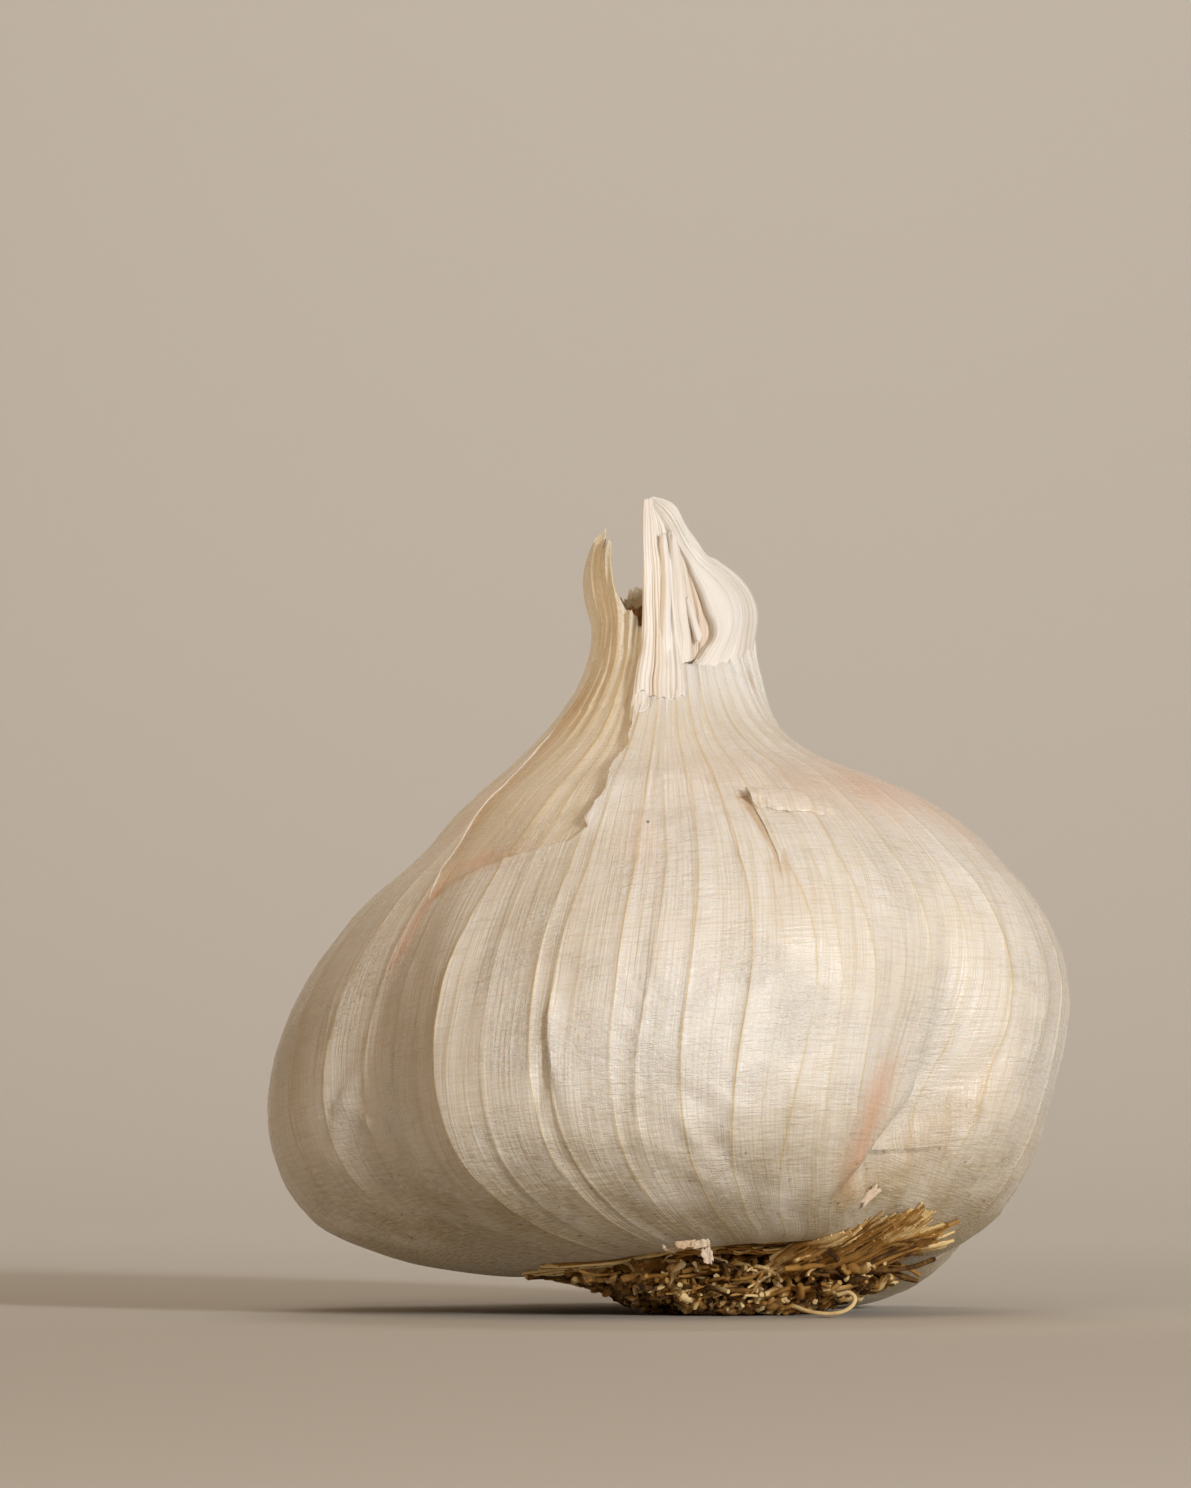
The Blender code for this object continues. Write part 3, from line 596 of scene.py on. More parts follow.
def attribute(tree, name):
    """A number stored on the piece's points."""
    return add_node(tree, "ShaderNodeAttribute", {"attribute_name": name}).outputs["Fac"]


def add_bump(tree, height, strength, distance):
    """A bent normal from heights, for relief too fine for the mesh."""
    settings = {"Strength": strength, "Distance": distance}
    return add_node(tree, "ShaderNodeBump", inputs=settings, Height=height).outputs[0]


def papery_skin_material(name, translucency):
    """Dry garlic leaf skin: thin satin sheets with pale yellow veins, lengthwise fibres, soil marks, and
    painted shade and highlights.
    """
    look = bpy.context.scene.garlic_look
    material, tree, shader = new_material(name)
    uv = add_node(tree, "ShaderNodeUVMap", {"uv_map": "skin_map"}).outputs[0]
    obj = add_node(tree, "ShaderNodeTexCoord").outputs["Object"]
    vein = calculate(tree, "ABSOLUTE", attribute(tree, "vein"))
    strength = attribute(tree, "vein_strength")
    soil_and_shade = attribute(tree, "soil_and_shade")
    crinkled = attribute(tree, "crinkled")
    # lengthwise fibres about 0.2 mm apart at the belly, and a cross weave that makes the skin look woven
    fibre = stretched_noise(tree, uv, (900.0, 9.0, 1.0), 3.0, 0.6)
    streak = stretched_noise(tree, uv, (170.0, 3.0, 1.0), 3.0, 0.55)
    weave = stretched_noise(tree, uv, (60.0, 420.0, 1.0), 2.0, 0.6)
    cloud = stretched_noise(tree, obj, (90.0, 90.0, 70.0), 3.0, 0.55)
    crumbs = stretched_noise(tree, uv, (150.0, 380.0, 1.0), 6.0, 0.75)
    speck = stretched_noise(tree, obj, (1500.0, 1500.0, 1500.0), 2.0, 0.6)
    halo = remap(tree, vein, 0.08, 0.34, 0.16, 0.0)
    line = times(tree, remap(tree, vein, 0.025, 0.10, 0.9, 0.0), remap(tree, streak, 0.25, 0.5, 0.6, 1.0))
    dots = times(tree, remap(tree, speck, 0.66, 0.74), plus(tree, soil_and_shade, 0.05))
    # the one dark speck high on the front
    flattened = add_node(tree, "ShaderNodeMapping", inputs={"Scale": (1.0, 0.15, 1.0)}, Vector=obj).outputs[0]
    from_speck = add_node(tree, "ShaderNodeVectorMath", {"operation": "DISTANCE"}, {1: SPECK}, in0=flattened)
    layers = (
        (remap(tree, streak, 0.52, 0.72, 0.0, 0.55), look.skin_fibre),
        (remap(tree, fibre, 0.42, 0.68, 0.0, 0.52), look.skin_fibre),
        (remap(tree, weave, 0.46, 0.68, 0.0, 0.40), look.skin_fibre),
        # the exposed under-sheet is a little warmer and darker than the outermost one, and the same tint paints
        # the shade in the slit
        (times(tree, attribute(tree, "under"), remap(tree, streak, 0.35, 0.62, 0.35, 1.0)), look.under_sheet),
        # paler neck skin with painted light on the neck's lit right side, a painted highlight along the tear's
        # lip and painted sheen on the crinkled patches
        (attribute(tree, "pale"), look.sheet_light),
        # straw-brown stain, with painted shade in the slit, partly in the tear's left gutter and beside the
        # right crease
        (times(tree, attribute(tree, "stain_and_shade"), remap(tree, streak, 0.35, 0.62, 0.45, 1.0)), look.sheet_brown),
        # veins: a pale straw line along each rib with a soft shaded edge
        (times(tree, halo, strength), look.vein_edge),
        (times(tree, line, strength), look.vein),
        (attribute(tree, "blush"), look.blush),
        # soil rubbed into the crinkles low on the cloves, and in the same colour painted shade low on the left,
        # towards the bottom and in the grooves
        (times(tree, soil_and_shade, remap(tree, crumbs, 0.32, 0.68, 0.42, 0.95)), look.soil_and_shade),
        (times(tree, dots, 0.7), look.soil_dark),
        (remap(tree, from_speck.outputs["Value"], 0.00011, 0.00022, 1.0, 0.0), look.soil_dark),
    )
    color = blend_colors(tree, remap(tree, cloud, 0.35, 0.65), look.skin_light, look.skin_warm)
    tree.links.new(layered(tree, color, layers), shader.inputs["Base Color"])
    grain = plus(tree, times(tree, fibre, 0.6), times(tree, weave, 0.4))
    rough = plus(tree, remap(tree, grain, 0.35, 0.65, 0.24, 0.40), times(tree, soil_and_shade, 0.3))
    tree.links.new(minus(tree, rough, times(tree, crinkled, 0.09)), shader.inputs["Roughness"])
    shader.inputs["IOR"].default_value = 1.5
    # a satin gloss that follows the fine relief, so that the crinkles glint
    shader.inputs["Coat Weight"].default_value = 0.45
    shader.inputs["Coat Roughness"].default_value = 0.33
    shader.inputs["Subsurface Weight"].default_value = translucency
    shader.inputs["Subsurface Radius"].default_value = (1.0, 0.62, 0.35)
    shader.inputs["Subsurface Scale"].default_value = 0.0016
    woven = plus(tree, times(tree, fibre, 0.38), times(tree, weave, 0.38))
    woven = plus(tree, woven, times(tree, streak, 0.45))
    # crosswise wrinkles a few tenths of a millimetre apart, in patches
    wrinkle = stretched_noise(tree, uv, (85.0, 230.0, 1.0), 4.0, 0.7)
    ridged = calculate(tree, "ABSOLUTE", minus(tree, wrinkle, 0.5))
    patches = stretched_noise(tree, obj, (150.0, 150.0, 190.0), 2.0, 0.5)
    patchy = plus(tree, remap(tree, patches, 0.44, 0.60, 0.12, 0.8), times(tree, crinkled, 0.45))
    folded = times(tree, times(tree, ridged, patchy), 1.7)
    crumpled = stretched_noise(tree, obj, (700.0, 700.0, 900.0), 3.0, 0.65)
    height = plus(tree, minus(tree, woven, folded), times(tree, times(tree, crumpled, patchy), 0.8))
    bent = add_bump(tree, height, 1.0, 0.0002)
    tree.links.new(bent, shader.inputs["Normal"])
    tree.links.new(bent, shader.inputs["Coat Normal"])
    return material


def dry_sheet_material():
    """The same leaf skin where it stands free round the neck: thinner, paler, drier, with straw-brown folds
    whose hollows carry painted shade.
    """
    look = bpy.context.scene.garlic_look
    material, tree, shader = new_material("dry_neck_sheet")
    uv = add_node(tree, "ShaderNodeUVMap", {"uv_map": "skin_map"}).outputs[0]
    obj = add_node(tree, "ShaderNodeTexCoord").outputs["Object"]
    fibre = stretched_noise(tree, uv, (260.0, 9.0, 1.0), 3.0, 0.6)
    streak = stretched_noise(tree, uv, (46.0, 2.5, 1.0), 3.0, 0.55)
    cloud = stretched_noise(tree, obj, (160.0, 160.0, 90.0), 3.0, 0.55)
    layers = (
        (remap(tree, streak, 0.5, 0.72, 0.0, 0.3), look.vein_edge),
        (remap(tree, fibre, 0.5, 0.75, 0.0, 0.4), look.skin_fibre),
        # straw-brown tint, with painted shade in the hollows of the folds, at the hood's foot and on the inner
        # fold under the hood
        (times(tree, attribute(tree, "brown_and_shade"), remap(tree, streak, 0.3, 0.6, 0.35, 1.0)), look.sheet_brown),
    )
    color = blend_colors(tree, remap(tree, cloud, 0.35, 0.68), look.sheet_light, look.sheet_cream)
    tree.links.new(layered(tree, color, layers), shader.inputs["Base Color"])
    tree.links.new(remap(tree, fibre, 0.3, 0.7, 0.36, 0.56), shader.inputs["Roughness"])
    shader.inputs["IOR"].default_value = 1.45
    height = plus(tree, times(tree, fibre, 0.6), times(tree, streak, 1.2))
    tree.links.new(add_bump(tree, height, 0.8, 0.00026), shader.inputs["Normal"])
    return material


def dry_plant_material(name, dark, middle, pale):
    """Dead dry plant fibre, as of roots or a stalk: matte, streaked, each strand of its own tone."""
    material, tree, shader = new_material(name)
    obj = add_node(tree, "ShaderNodeTexCoord").outputs["Object"]
    grain = stretched_noise(tree, obj, (900.0, 900.0, 500.0), 4.0, 0.65)
    patch = stretched_noise(tree, obj, (260.0, 260.0, 260.0), 3.0, 0.6)
    mixed = plus(tree, attribute(tree, "tone"), times(tree, minus(tree, grain, 0.5), 0.9))
    mixed = plus(tree, mixed, times(tree, minus(tree, patch, 0.5), 0.8))
    color = blend_colors(tree, remap(tree, mixed, 0.0, 0.5), dark, middle)
    color = blend_colors(tree, remap(tree, mixed, 0.5, 1.0), color, pale)
    tree.links.new(color, shader.inputs["Base Color"])
    shader.inputs["Roughness"].default_value = 0.78
    shader.inputs["IOR"].default_value = 1.4
    tree.links.new(add_bump(tree, grain, 0.7, 0.00012), shader.inputs["Normal"])
    return material


# Pieces

def window_edges(height):
    """The left and right angles of the torn window at each height, with small ragged teeth."""
    left = line_values(TORN_WINDOW, 1, height)
    right = line_values(TORN_WINDOW, 2, height)
    size = np.degrees(1.0 / np.maximum(skin_radius(height), 6.0))
    inside = smooth_step(WINDOW_FOOT, WINDOW_OPEN, height)
    left = left + inside * size * (0.25 * bumpy(height * 0.9, 1.0) + 0.12 * bumpy(height * 4.0, 2.0))
    right = right + inside * size * (0.35 * bumpy(height * 0.8, 5.0) + 0.12 * bumpy(height * 3.5, 6.0))
    right = right + inside * smooth_step(31.7, 31.0, height) * 3.4 * bumpy(height * 2.3, 9.0)
    return left, right


def in_window(angle, height):
    """How deep inside the torn window each point is, in millimetres, negative outside."""
    left, right = window_edges(height)
    a = turn_between(angle, 0.0)
    scale = DEGREE * skin_radius(height)
    side = np.minimum(a - left, right - a) * scale
    return np.minimum(side, height - WINDOW_FOOT)


def window_depth(angle, height):
    """How far the under-sheet lies below the outermost one inside the torn window, in millimetres."""
    left, right = window_edges(height)
    share = np.clip((turn_between(angle, 0.0) - left) / np.maximum(right - left, 0.5), 0.0, 1.0)
    depth = 0.12 + 0.16 * smooth_step(0.0, 0.4, share)
    depth = depth + 0.36 * smooth_step(0.5, 0.96, share) * band(31.2, 34.5, 42.0, WINDOW_NARROW, height)
    depth = np.where(height > WINDOW_NARROW, np.minimum(depth, 0.14), depth)
    return depth * smooth_step(50.8, 48.8, height)


# How far above the skin the torn window's cutter ends, in millimetres
CUTTER_LID = 1.6


def torn_cutter(columns, rows):
    """A cutter over the torn window, whose floor carries the under-sheet's own relief."""
    height = np.linspace(TORN_WINDOW[0][0], TORN_WINDOW[-1][0], rows)
    height = np.unique(np.concatenate((height, [row[0] for row in TORN_WINDOW])))
    left, right = window_edges(height)
    share = np.linspace(0.0, 1.0, columns)
    angle = left[:, None] + (right - left)[:, None] * share[None, :]
    tall = np.broadcast_to(height[:, None], angle.shape)
    radius = skin_radius(tall)
    turn = np.radians(angle)
    soft = 0.16 * bumpy(np.sin(turn) * 7.0, np.cos(turn) * 7.0, tall * 0.07)
    under = skin_relief(radius, angle, tall) * 0.8 - window_depth(angle, tall)
    under = under + soft * smooth_step(0.0, 0.1, share)[None, :]
    return closed_slab("torn place", at_rest(skin_points(radius, angle, tall, under)),
                       at_rest(skin_points(radius, angle, tall, CUTTER_LID)))


def slit_cutter(columns, rows):
    """A narrow wedge cut beside the lifted corner."""
    height = np.linspace(SLIT[0][0], SLIT[-1][0], rows)
    left = line_values(SLIT, 1, height)
    right = line_values(SLIT, 2, height)
    share = np.linspace(0.0, 1.0, columns)
    angle = left[:, None] + (right - left)[:, None] * share[None, :]
    tall = np.broadcast_to(height[:, None], angle.shape)
    radius = skin_radius(tall)
    relief = skin_relief(radius, angle, tall)
    deep = 0.02 + 0.06 * smooth_step(26.0, 33.0, tall)
    return closed_slab("slit", at_rest(skin_points(radius, angle, tall, relief - deep)),
                       at_rest(skin_points(radius, angle, tall, relief + 1.0)))


def skin_columns(radius, height):
    """The angles of the columns of points at each row, crowded along the veins."""
    lines = vein_lines(height)
    after = np.roll(lines, -1, axis=-1)
    gap = (after - lines) % 360.0
    degree = DEGREE * np.maximum(radius, 0.5)[:, None]
    wide = gap * degree
    near = np.array((0.0, 0.14, 0.33, 0.8))[None, None, :] * np.minimum(1.0, 0.36 * wide)[..., None]
    start = near / degree[..., None]
    middle = np.array((0.4, 0.6))[None, None, :] * gap[..., None]
    end = gap[..., None] - start[..., :0:-1]
    return (lines[..., None] + np.concatenate((start, middle, end), -1)).reshape(len(height), -1)


def dress_skin(obj):
    """Stores on a skin piece what its material reads: veins, soil and painted shade, blush, stains and painted
    shade, paler skin and painted highlights, under-sheet and the skin map.
    """
    places = np.zeros(len(obj.data.vertices) * 3, np.float32)
    obj.data.vertices.foreach_get("co", places)
    places = growing(places.reshape(-1, 3).astype(float))
    height = places[:, 2]
    offset = places[:, 0] - table_values(CENTRE_SHIFT, height)
    angle = turn_between(np.degrees(np.arctan2(offset, -places[:, 1])), 0.0)
    radius = np.hypot(offset, places[:, 1])
    degree = DEGREE * radius
    wavy = ring_noise(angle, 4.0, height * 0.1)

    nearest, _, distance, _, _ = vein_place(angle, height, np.maximum(radius, 1.0))
    alive = 0.75 + 0.5 * bumpy(nearest * 1.7, height * 0.12)
    alive = alive * (1.0 - 0.4 * smooth_step(40.0, 47.0, height))
    strength = np.clip((0.25 + 0.6 * VEIN_STRENGTH[nearest]) * alive, 0.0, 1.0)
    strength = strength * smooth_step(9.0, 14.0, np.where(height > 12.0, 30.0, radius))
    crinkled = crinkled_share(angle, height, degree)

    # soil low on the cloves, darker towards the bottom
    soil_and_shade = smooth_step(11.0, 2.0, height + 3.5 * wavy) * 0.6 + smooth_step(4.0, 0.5, height) * 0.4
    soil_and_shade = np.clip(soil_and_shade * (0.7 + 0.8 * ring_noise(angle, 9.0, height * 0.5)), 0.0, 1.0)
    groove = sum(bell(turn_between(angle, at), 9.0) for at, _, _ in GROOVES) * smooth_step(24.0, 10.0, height)
    # painted shade in the soil colour: low on the shaded left, towards the bottom, and in the grooves
    shaded = band(-140.0, -100.0, -45.0, -15.0, angle)
    soil_and_shade = soil_and_shade + 0.25 * smooth_step(15.0, 5.0, height) * shaded + 0.22 * smooth_step(13.0, 4.0, height)
    soil_and_shade = soil_and_shade + 0.18 * groove * (0.5 + wavy)

    # pink beside the left clove, low on the right, on the right shoulder, in patches, and under the tear
    blush = 0.55 * bell(angle + 46.5 - (height - 26.0) * 0.35, 1.3) * band(20.5, 25.0, 29.0, 32.5, height)
    blush = blush + 0.72 * bell(angle - 36.0 + (10.0 - height) * 0.7, 3.6) * band(1.0, 3.5, 9.0, 15.0, height)
    blush = blush + 0.44 * bell(angle - 34.0, 26.0) * bell(height - 36.0, 3.4) * (0.7 + 0.5 * wavy)
    blush = blush + 0.22 * smooth_step(0.1, 0.6, wavy) * band(20.0, 32.0, 36.0, 44.0, height)
    blush = blush + 0.42 * bell(angle + 37.0, 7.0) * bell(height - 31.2, 1.1)

    # inside the tear: straw-brown, partly painted shade, in the gutter along its left edge, and a thin darker
    # line along its lower edge; painted shade in the slit; straw-brown stain round the neck's torn top and at a
    # small tear; straw-yellow streaks beside the right crease, partly painted shade in its hollow
    margin = in_window(angle, height)
    inside = smooth_step(-0.05, 0.3, margin)
    left, tear = window_edges(height)
    beside = np.maximum(angle - left, 0.0) * degree
    stain_and_shade = 0.75 * inside * bell(beside, 2.2) * band(30.5, 33.0, 46.0, 49.0, height)
    slit = smooth_step(-0.10, 0.12, (angle - line_values(SLIT, 1, height)) * degree)
    slit = slit * smooth_step(1.0, 0.4, (angle - line_values(SLIT, 2, height)) * degree)
    slit = slit * band(25.7, 27.5, 34.2, 34.6, height) * float(obj.name.startswith("papery"))
    patchy = 0.5 + 0.5 * ring_noise(angle, 11.0, height * 0.08)
    neck_stain = smooth_step(50.0, 55.5, height) * np.clip(0.25 + 0.9 * patchy, 0.0, 1.0)
    golden_and_shade = bell(turn_between(angle, table_values(RIGHT_CREASE, height)) - 8.0, 6.0)
    golden_and_shade = golden_and_shade * band(1.0, 4.0, 9.0, 16.0, height)
    edge = bell(margin, 0.16) * smooth_step(34.0, 32.0, height) * smooth_step(-50.0, -46.0, angle)
    small_tear = bell(turn_between(angle, 57.0) * degree, 0.28) * bell(height - 46.9, 1.1)
    stain_and_shade = stain_and_shade + 0.4 * edge + 0.5 * slit + 0.14 * neck_stain + 0.8 * small_tear
    stain_and_shade = stain_and_shade + 0.34 * golden_and_shade * (0.4 + patchy)

    # the neck's right side is painted paler, partly paler skin and partly painted light where it catches the
    # light; a painted highlight along the lip of the tear; painted sheen on the crinkled patches
    pale = smooth_step(41.0, 47.0, height) * band(-16.0, -8.0, 90.0, 150.0, angle)
    beyond = (angle - tear) * degree
    lip_highlight = smooth_step(-0.1, 0.1, beyond) * bell(np.maximum(beyond, 0.0), 1.3)
    lip_highlight = lip_highlight * band(31.6, 33.0, 36.5, 39.5, height)
    pale = np.maximum(0.95 * np.maximum(pale, lip_highlight), np.clip(0.5 * crinkled, 0.0, 0.6))
    # the slit's share of the under-sheet tint is painted shade
    under = inside + 0.35 * smooth_step(48.8, 50.8, height) + 0.6 * slit

    point_values(obj, "vein", distance)
    point_values(obj, "crinkled", crinkled)
    for name, values in (("vein_strength", strength), ("soil_and_shade", soil_and_shade), ("blush", blush), ("stain_and_shade", stain_and_shade),
                         ("pale", pale), ("under", under)):
        point_values(obj, name, np.clip(values, 0.0, 1.0))
    drop = np.where(height < 6.0, np.maximum(0.0, 27.0 - radius), 0.0)
    corner_map(obj, angle / 360.0, (height - drop) * 0.01)


def make_skin():
    """The wrapped cloves: one closed body with ribs, panels, creases, tears and the hollow neck."""
    shape = bpy.context.scene.garlic_skin
    outside = np.array([(r, c) for r, c in SKIN_PROFILE])
    rows = 168
    fine = spline(outside[2:], rows * 8)
    length = np.concatenate(([0.0], np.cumsum(np.linalg.norm(np.diff(fine, axis=0), axis=1))))
    even = np.linspace(0.0, length[-1], rows)
    fine = np.stack((np.interp(even, length, fine[:, 0]), np.interp(even, length, fine[:, 1])), -1)
    recess = spline(outside[:3], 8)[:-1]
    mouth = spline(np.array(MOUTH_PROFILE), 22)
    recess[0, 0] = 0.02
    mouth[-1, 0] = 0.02
    radius, height = np.concatenate((recess, fine, mouth)).T
    angle = skin_columns(radius, height)
    wide = np.broadcast_to(radius[:, None], angle.shape).copy()
    tall = np.broadcast_to(height[:, None], angle.shape).copy()
    # the neck's wall is torn to its own height all round
    turn = np.radians(angle)
    level = table_values(RIM, turn_between(angle, 0.0))
    tatter = smooth_step(49.0, 53.0, level)
    level = level + (0.3 + 0.5 * tatter) * bumpy(np.sin(turn) * 7.0, np.cos(turn) * 7.0)
    level = level + (0.15 + 0.55 * tatter) * bumpy(np.sin(turn) * 22.0, np.cos(turn) * 22.0)
    level = level + 0.35 * tatter * bumpy(np.sin(turn) * 60.0, np.cos(turn) * 60.0)
    high = tall > 46.0
    torn = tall + smooth_step(3.5, 5.2, wide) * (level - 53.0) / 7.0 * (tall - 46.0)
    wide = np.where(high, wide + skin_radius(torn) - skin_radius(tall), wide)
    wide = np.where(high & (radius[:, None] < 3.5), radius[:, None], wide)
    tall = np.where(high, torn, tall)
    rise = np.zeros(angle.shape)
    outer = slice(len(recess), len(recess) + rows)
    rise[outer] = skin_relief(wide[outer], angle[outer], tall[outer])
    # beside the tear the outermost skin stands away from the bulb
    margin = in_window(angle[outer], tall[outer])
    _, right = window_edges(tall[outer])
    away = turn_between(angle[outer], 0.0) - right
    away = away * DEGREE * wide[outer]
    beside = bell(np.maximum(away, 0.0), 1.6) * smooth_step(-1.0, -0.2, away)
    beside = beside * band(31.2, 34.0, 43.0, 46.5, tall[outer])
    below = np.exp(-np.maximum(-margin, 0.0) / 0.6) * smooth_step(1.0, 0.0, margin)
    below = below * smooth_step(WINDOW_FOOT, WINDOW_OPEN, tall[outer])
    below = below * smooth_step(-50.0, -40.0, turn_between(angle[outer], 0.0))
    rise[outer] += (shape.tear_lift / MM) * np.maximum(beside, 0.35 * below)
    rim = slice(len(recess) + rows, len(angle))
    inner_wall = np.clip((radius[rim] - 4.6) / 1.4, 0.0, 1.0)[:, None]
    rise[rim] = skin_relief(skin_radius(tall[rim]), angle[rim], tall[rim]) * inner_wall
    points = skin_points(wide, angle, tall, rise)
    material = papery_skin_material("dry_garlic_skin", bpy.context.scene.garlic_look.translucency)
    skin = new_piece("papery_skin", at_rest(points.reshape(-1, 3)), capped_faces(*angle.shape), material)
    face_outward(skin)
    smooth(skin)
    for cutter in (torn_cutter(112, 122), slit_cutter(7, 50)):
        cutter.data.materials.append(skin.data.materials[0])
        boolean = skin.modifiers.new("tear", "BOOLEAN")
        boolean.operation = "DIFFERENCE"
        boolean.object = cutter
        boolean.solver = "EXACT"
        apply_modifiers(skin)
        bpy.data.objects.remove(cutter)
    dress_skin(skin)
    smooth(skin)
    skin.data.set_sharp_from_angle(angle=math.radians(50.0))
    return skin


def make_lifted_corner(material):
    """The torn corner on the right shoulder: a thin sheet that lifts off and rolls over at its top."""
    rows, columns = 90, 70
    height, rise, left, right = spline(np.array(LIFTED_CORNER), rows).T
    share = np.linspace(0.0, 1.0, columns)[None, :]
    up = np.linspace(0.0, 1.0, rows)[:, None]
    angle = left[:, None] + (right - left)[:, None] * share
    taper = smooth_step(1.0, 0.25, share)
    hug = 1.0 - 0.7 * smooth_step(0.14, 0.0, share) * smooth_step(34.3, 33.3, height)[:, None]
    rolled = np.maximum(smooth_step(33.0, 34.3, height)[:, None], smooth_step(0.55, 0.7, up))
    uneven = 0.5 * bumpy(share * 4.0, 2.0) + 0.25 * bumpy(share * 13.0, 8.0) - 1.5 * share ** 1.2
    tall = height[:, None] + rolled * uneven
    tall = tall + smooth_step(0.7, 1.0, up) * (0.45 * bumpy(share * 7.0, 5.0) + 0.7 * (1.0 - taper))
    radius = skin_radius(tall)
    lift = rise[:, None] * (0.06 + 0.94 * taper) * hug - 0.30 * smooth_step(0.55, 1.0, share)
    lift = lift + 0.10 * rolled * bumpy(share * 9.0, up * 3.0, 4.0)
    points = skin_points(radius, angle, tall, skin_relief(radius, angle, np.minimum(tall, 33.5)) + lift)
    faces = faces_of_grid(rows, columns, False)
    obj = new_piece("lifted_corner", at_rest(points.reshape(-1, 3)), faces, material)
    thicken(obj, 0.10)
    dress_skin(obj)
    return obj


def thicken(obj, thickness):
    """Gives a sheet its thickness, in millimetres, evenly on both sides, and closes it."""
    solidify = obj.modifiers.new("thickness", "SOLIDIFY")
    solidify.thickness = thickness * MM
    solidify.offset = 0.0
    apply_modifiers(obj)
    face_outward(obj)
    smooth(obj)


# Sheets round the neck: rows from the root up, each across the sheet, in the growing frame
FRONT_STRIP = (
    ((-4.3, -8.6, 45.7), (-3.0, -8.9, 45.4), (-1.7, -9.0, 44.9), (-0.3, -8.7, 45.0)),
    ((-4.0, -8.1, 47.0), (-2.9, -8.4, 46.7), (-1.6, -8.4, 46.4), (-0.2, -8.0, 46.5)),
    ((-3.7, -7.6, 48.3), (-2.6, -7.9, 48.1), (-1.4, -7.9, 48.0), (-0.3, -7.5, 48.0)),
    ((-3.3, -7.1, 49.6), (-2.4, -7.4, 49.5), (-1.4, -7.4, 49.4), (-0.3, -7.0, 49.4)),
    ((-3.1, -6.7, 51.3), (-2.2, -6.9, 51.2), (-1.3, -6.9, 51.2), (-0.3, -6.6, 51.1)),
    ((-2.8, -6.3, 53.7), (-2.1, -6.6, 53.6), (-1.2, -6.4, 53.6), (-0.3, -6.2, 53.5)),
    ((-2.5, -5.8, 56.5), (-1.9, -6.1, 56.4), (-1.1, -5.9, 56.4), (-0.2, -5.7, 56.4)),
    ((-2.3, -5.5, 58.4), (-1.9, -5.8, 58.3), (-1.2, -5.4, 58.3), (-0.4, -5.3, 58.3)),
    ((-2.2, -5.2, 60.0), (-1.8, -5.5, 59.9), (-1.3, -5.0, 60.0), (-0.6, -4.9, 59.9)),
    ((-2.1, -5.0, 61.3), (-1.8, -5.2, 61.2), (-1.4, -4.8, 61.3), (-1.0, -4.7, 61.1)),
    ((-2.0, -4.8, 62.2), (-1.7, -4.9, 62.3), (-1.5, -4.7, 62.3), (-1.2, -4.6, 62.2)),
)
FOOT_TAB = (
    ((-4.7, -9.3, 43.1), (-4.1, -9.5, 43.6), (-3.5, -9.3, 44.0)),
    ((-4.6, -9.0, 44.6), (-3.9, -9.4, 44.5), (-3.1, -9.1, 44.6)),
    ((-4.2, -8.6, 46.0), (-3.7, -8.8, 45.8), (-3.2, -8.8, 45.7)),
)
BLADE_TWO = (
    ((-2.0, -7.3, 48.2), (-1.5, -7.5, 48.1), (-1.0, -7.3, 48.2)),
    ((-1.7, -7.1, 51.0), (-1.3, -7.5, 50.9), (-0.9, -7.2, 50.9)),
    ((-1.3, -6.6, 53.9), (-1.0, -7.1, 53.8), (-0.6, -6.7, 53.9)),
    ((-1.1, -6.2, 56.5), (-0.8, -6.6, 56.4), (-0.5, -6.2, 56.4)),
    ((-1.1, -5.9, 58.2), (-0.8, -6.3, 58.1), (-0.5, -5.9, 58.2)),
    ((-1.0, -5.8, 59.0), (-0.7, -6.0, 59.1), (-0.6, -5.8, 58.9)),
)
BLADE_THREE = (
    ((-0.9, -6.9, 48.1), (-0.2, -7.1, 48.0), (0.6, -6.6, 48.4)),
    ((-0.7, -6.8, 50.1), (-0.0, -7.0, 50.0), (0.7, -6.3, 50.1)),
    ((-0.5, -6.4, 52.7), (-0.1, -6.6, 52.6), (0.7, -5.9, 52.7)),
    ((-0.4, -6.0, 55.2), (0.0, -6.2, 55.2), (0.6, -5.6, 55.2)),
    ((-0.3, -5.6, 57.4), (0.0, -5.9, 57.3), (0.5, -5.3, 57.4)),
    ((-0.2, -5.4, 59.1), (0.0, -5.6, 59.2), (0.3, -5.2, 58.2)),
)
INNER_SHARD = (
    ((1.0, -6.6, 50.0), (1.3, -6.8, 49.9), (1.6, -6.5, 50.3)),
    ((0.8, -6.4, 51.4), (1.0, -6.6, 51.4), (1.3, -6.4, 51.6)),
    ((0.6, -6.2, 52.7), (0.8, -6.4, 52.8), (1.0, -6.2, 52.9)),
    ((0.6, -6.0, 53.6), (0.7, -6.1, 53.7), (0.8, -6.0, 53.7)),
)
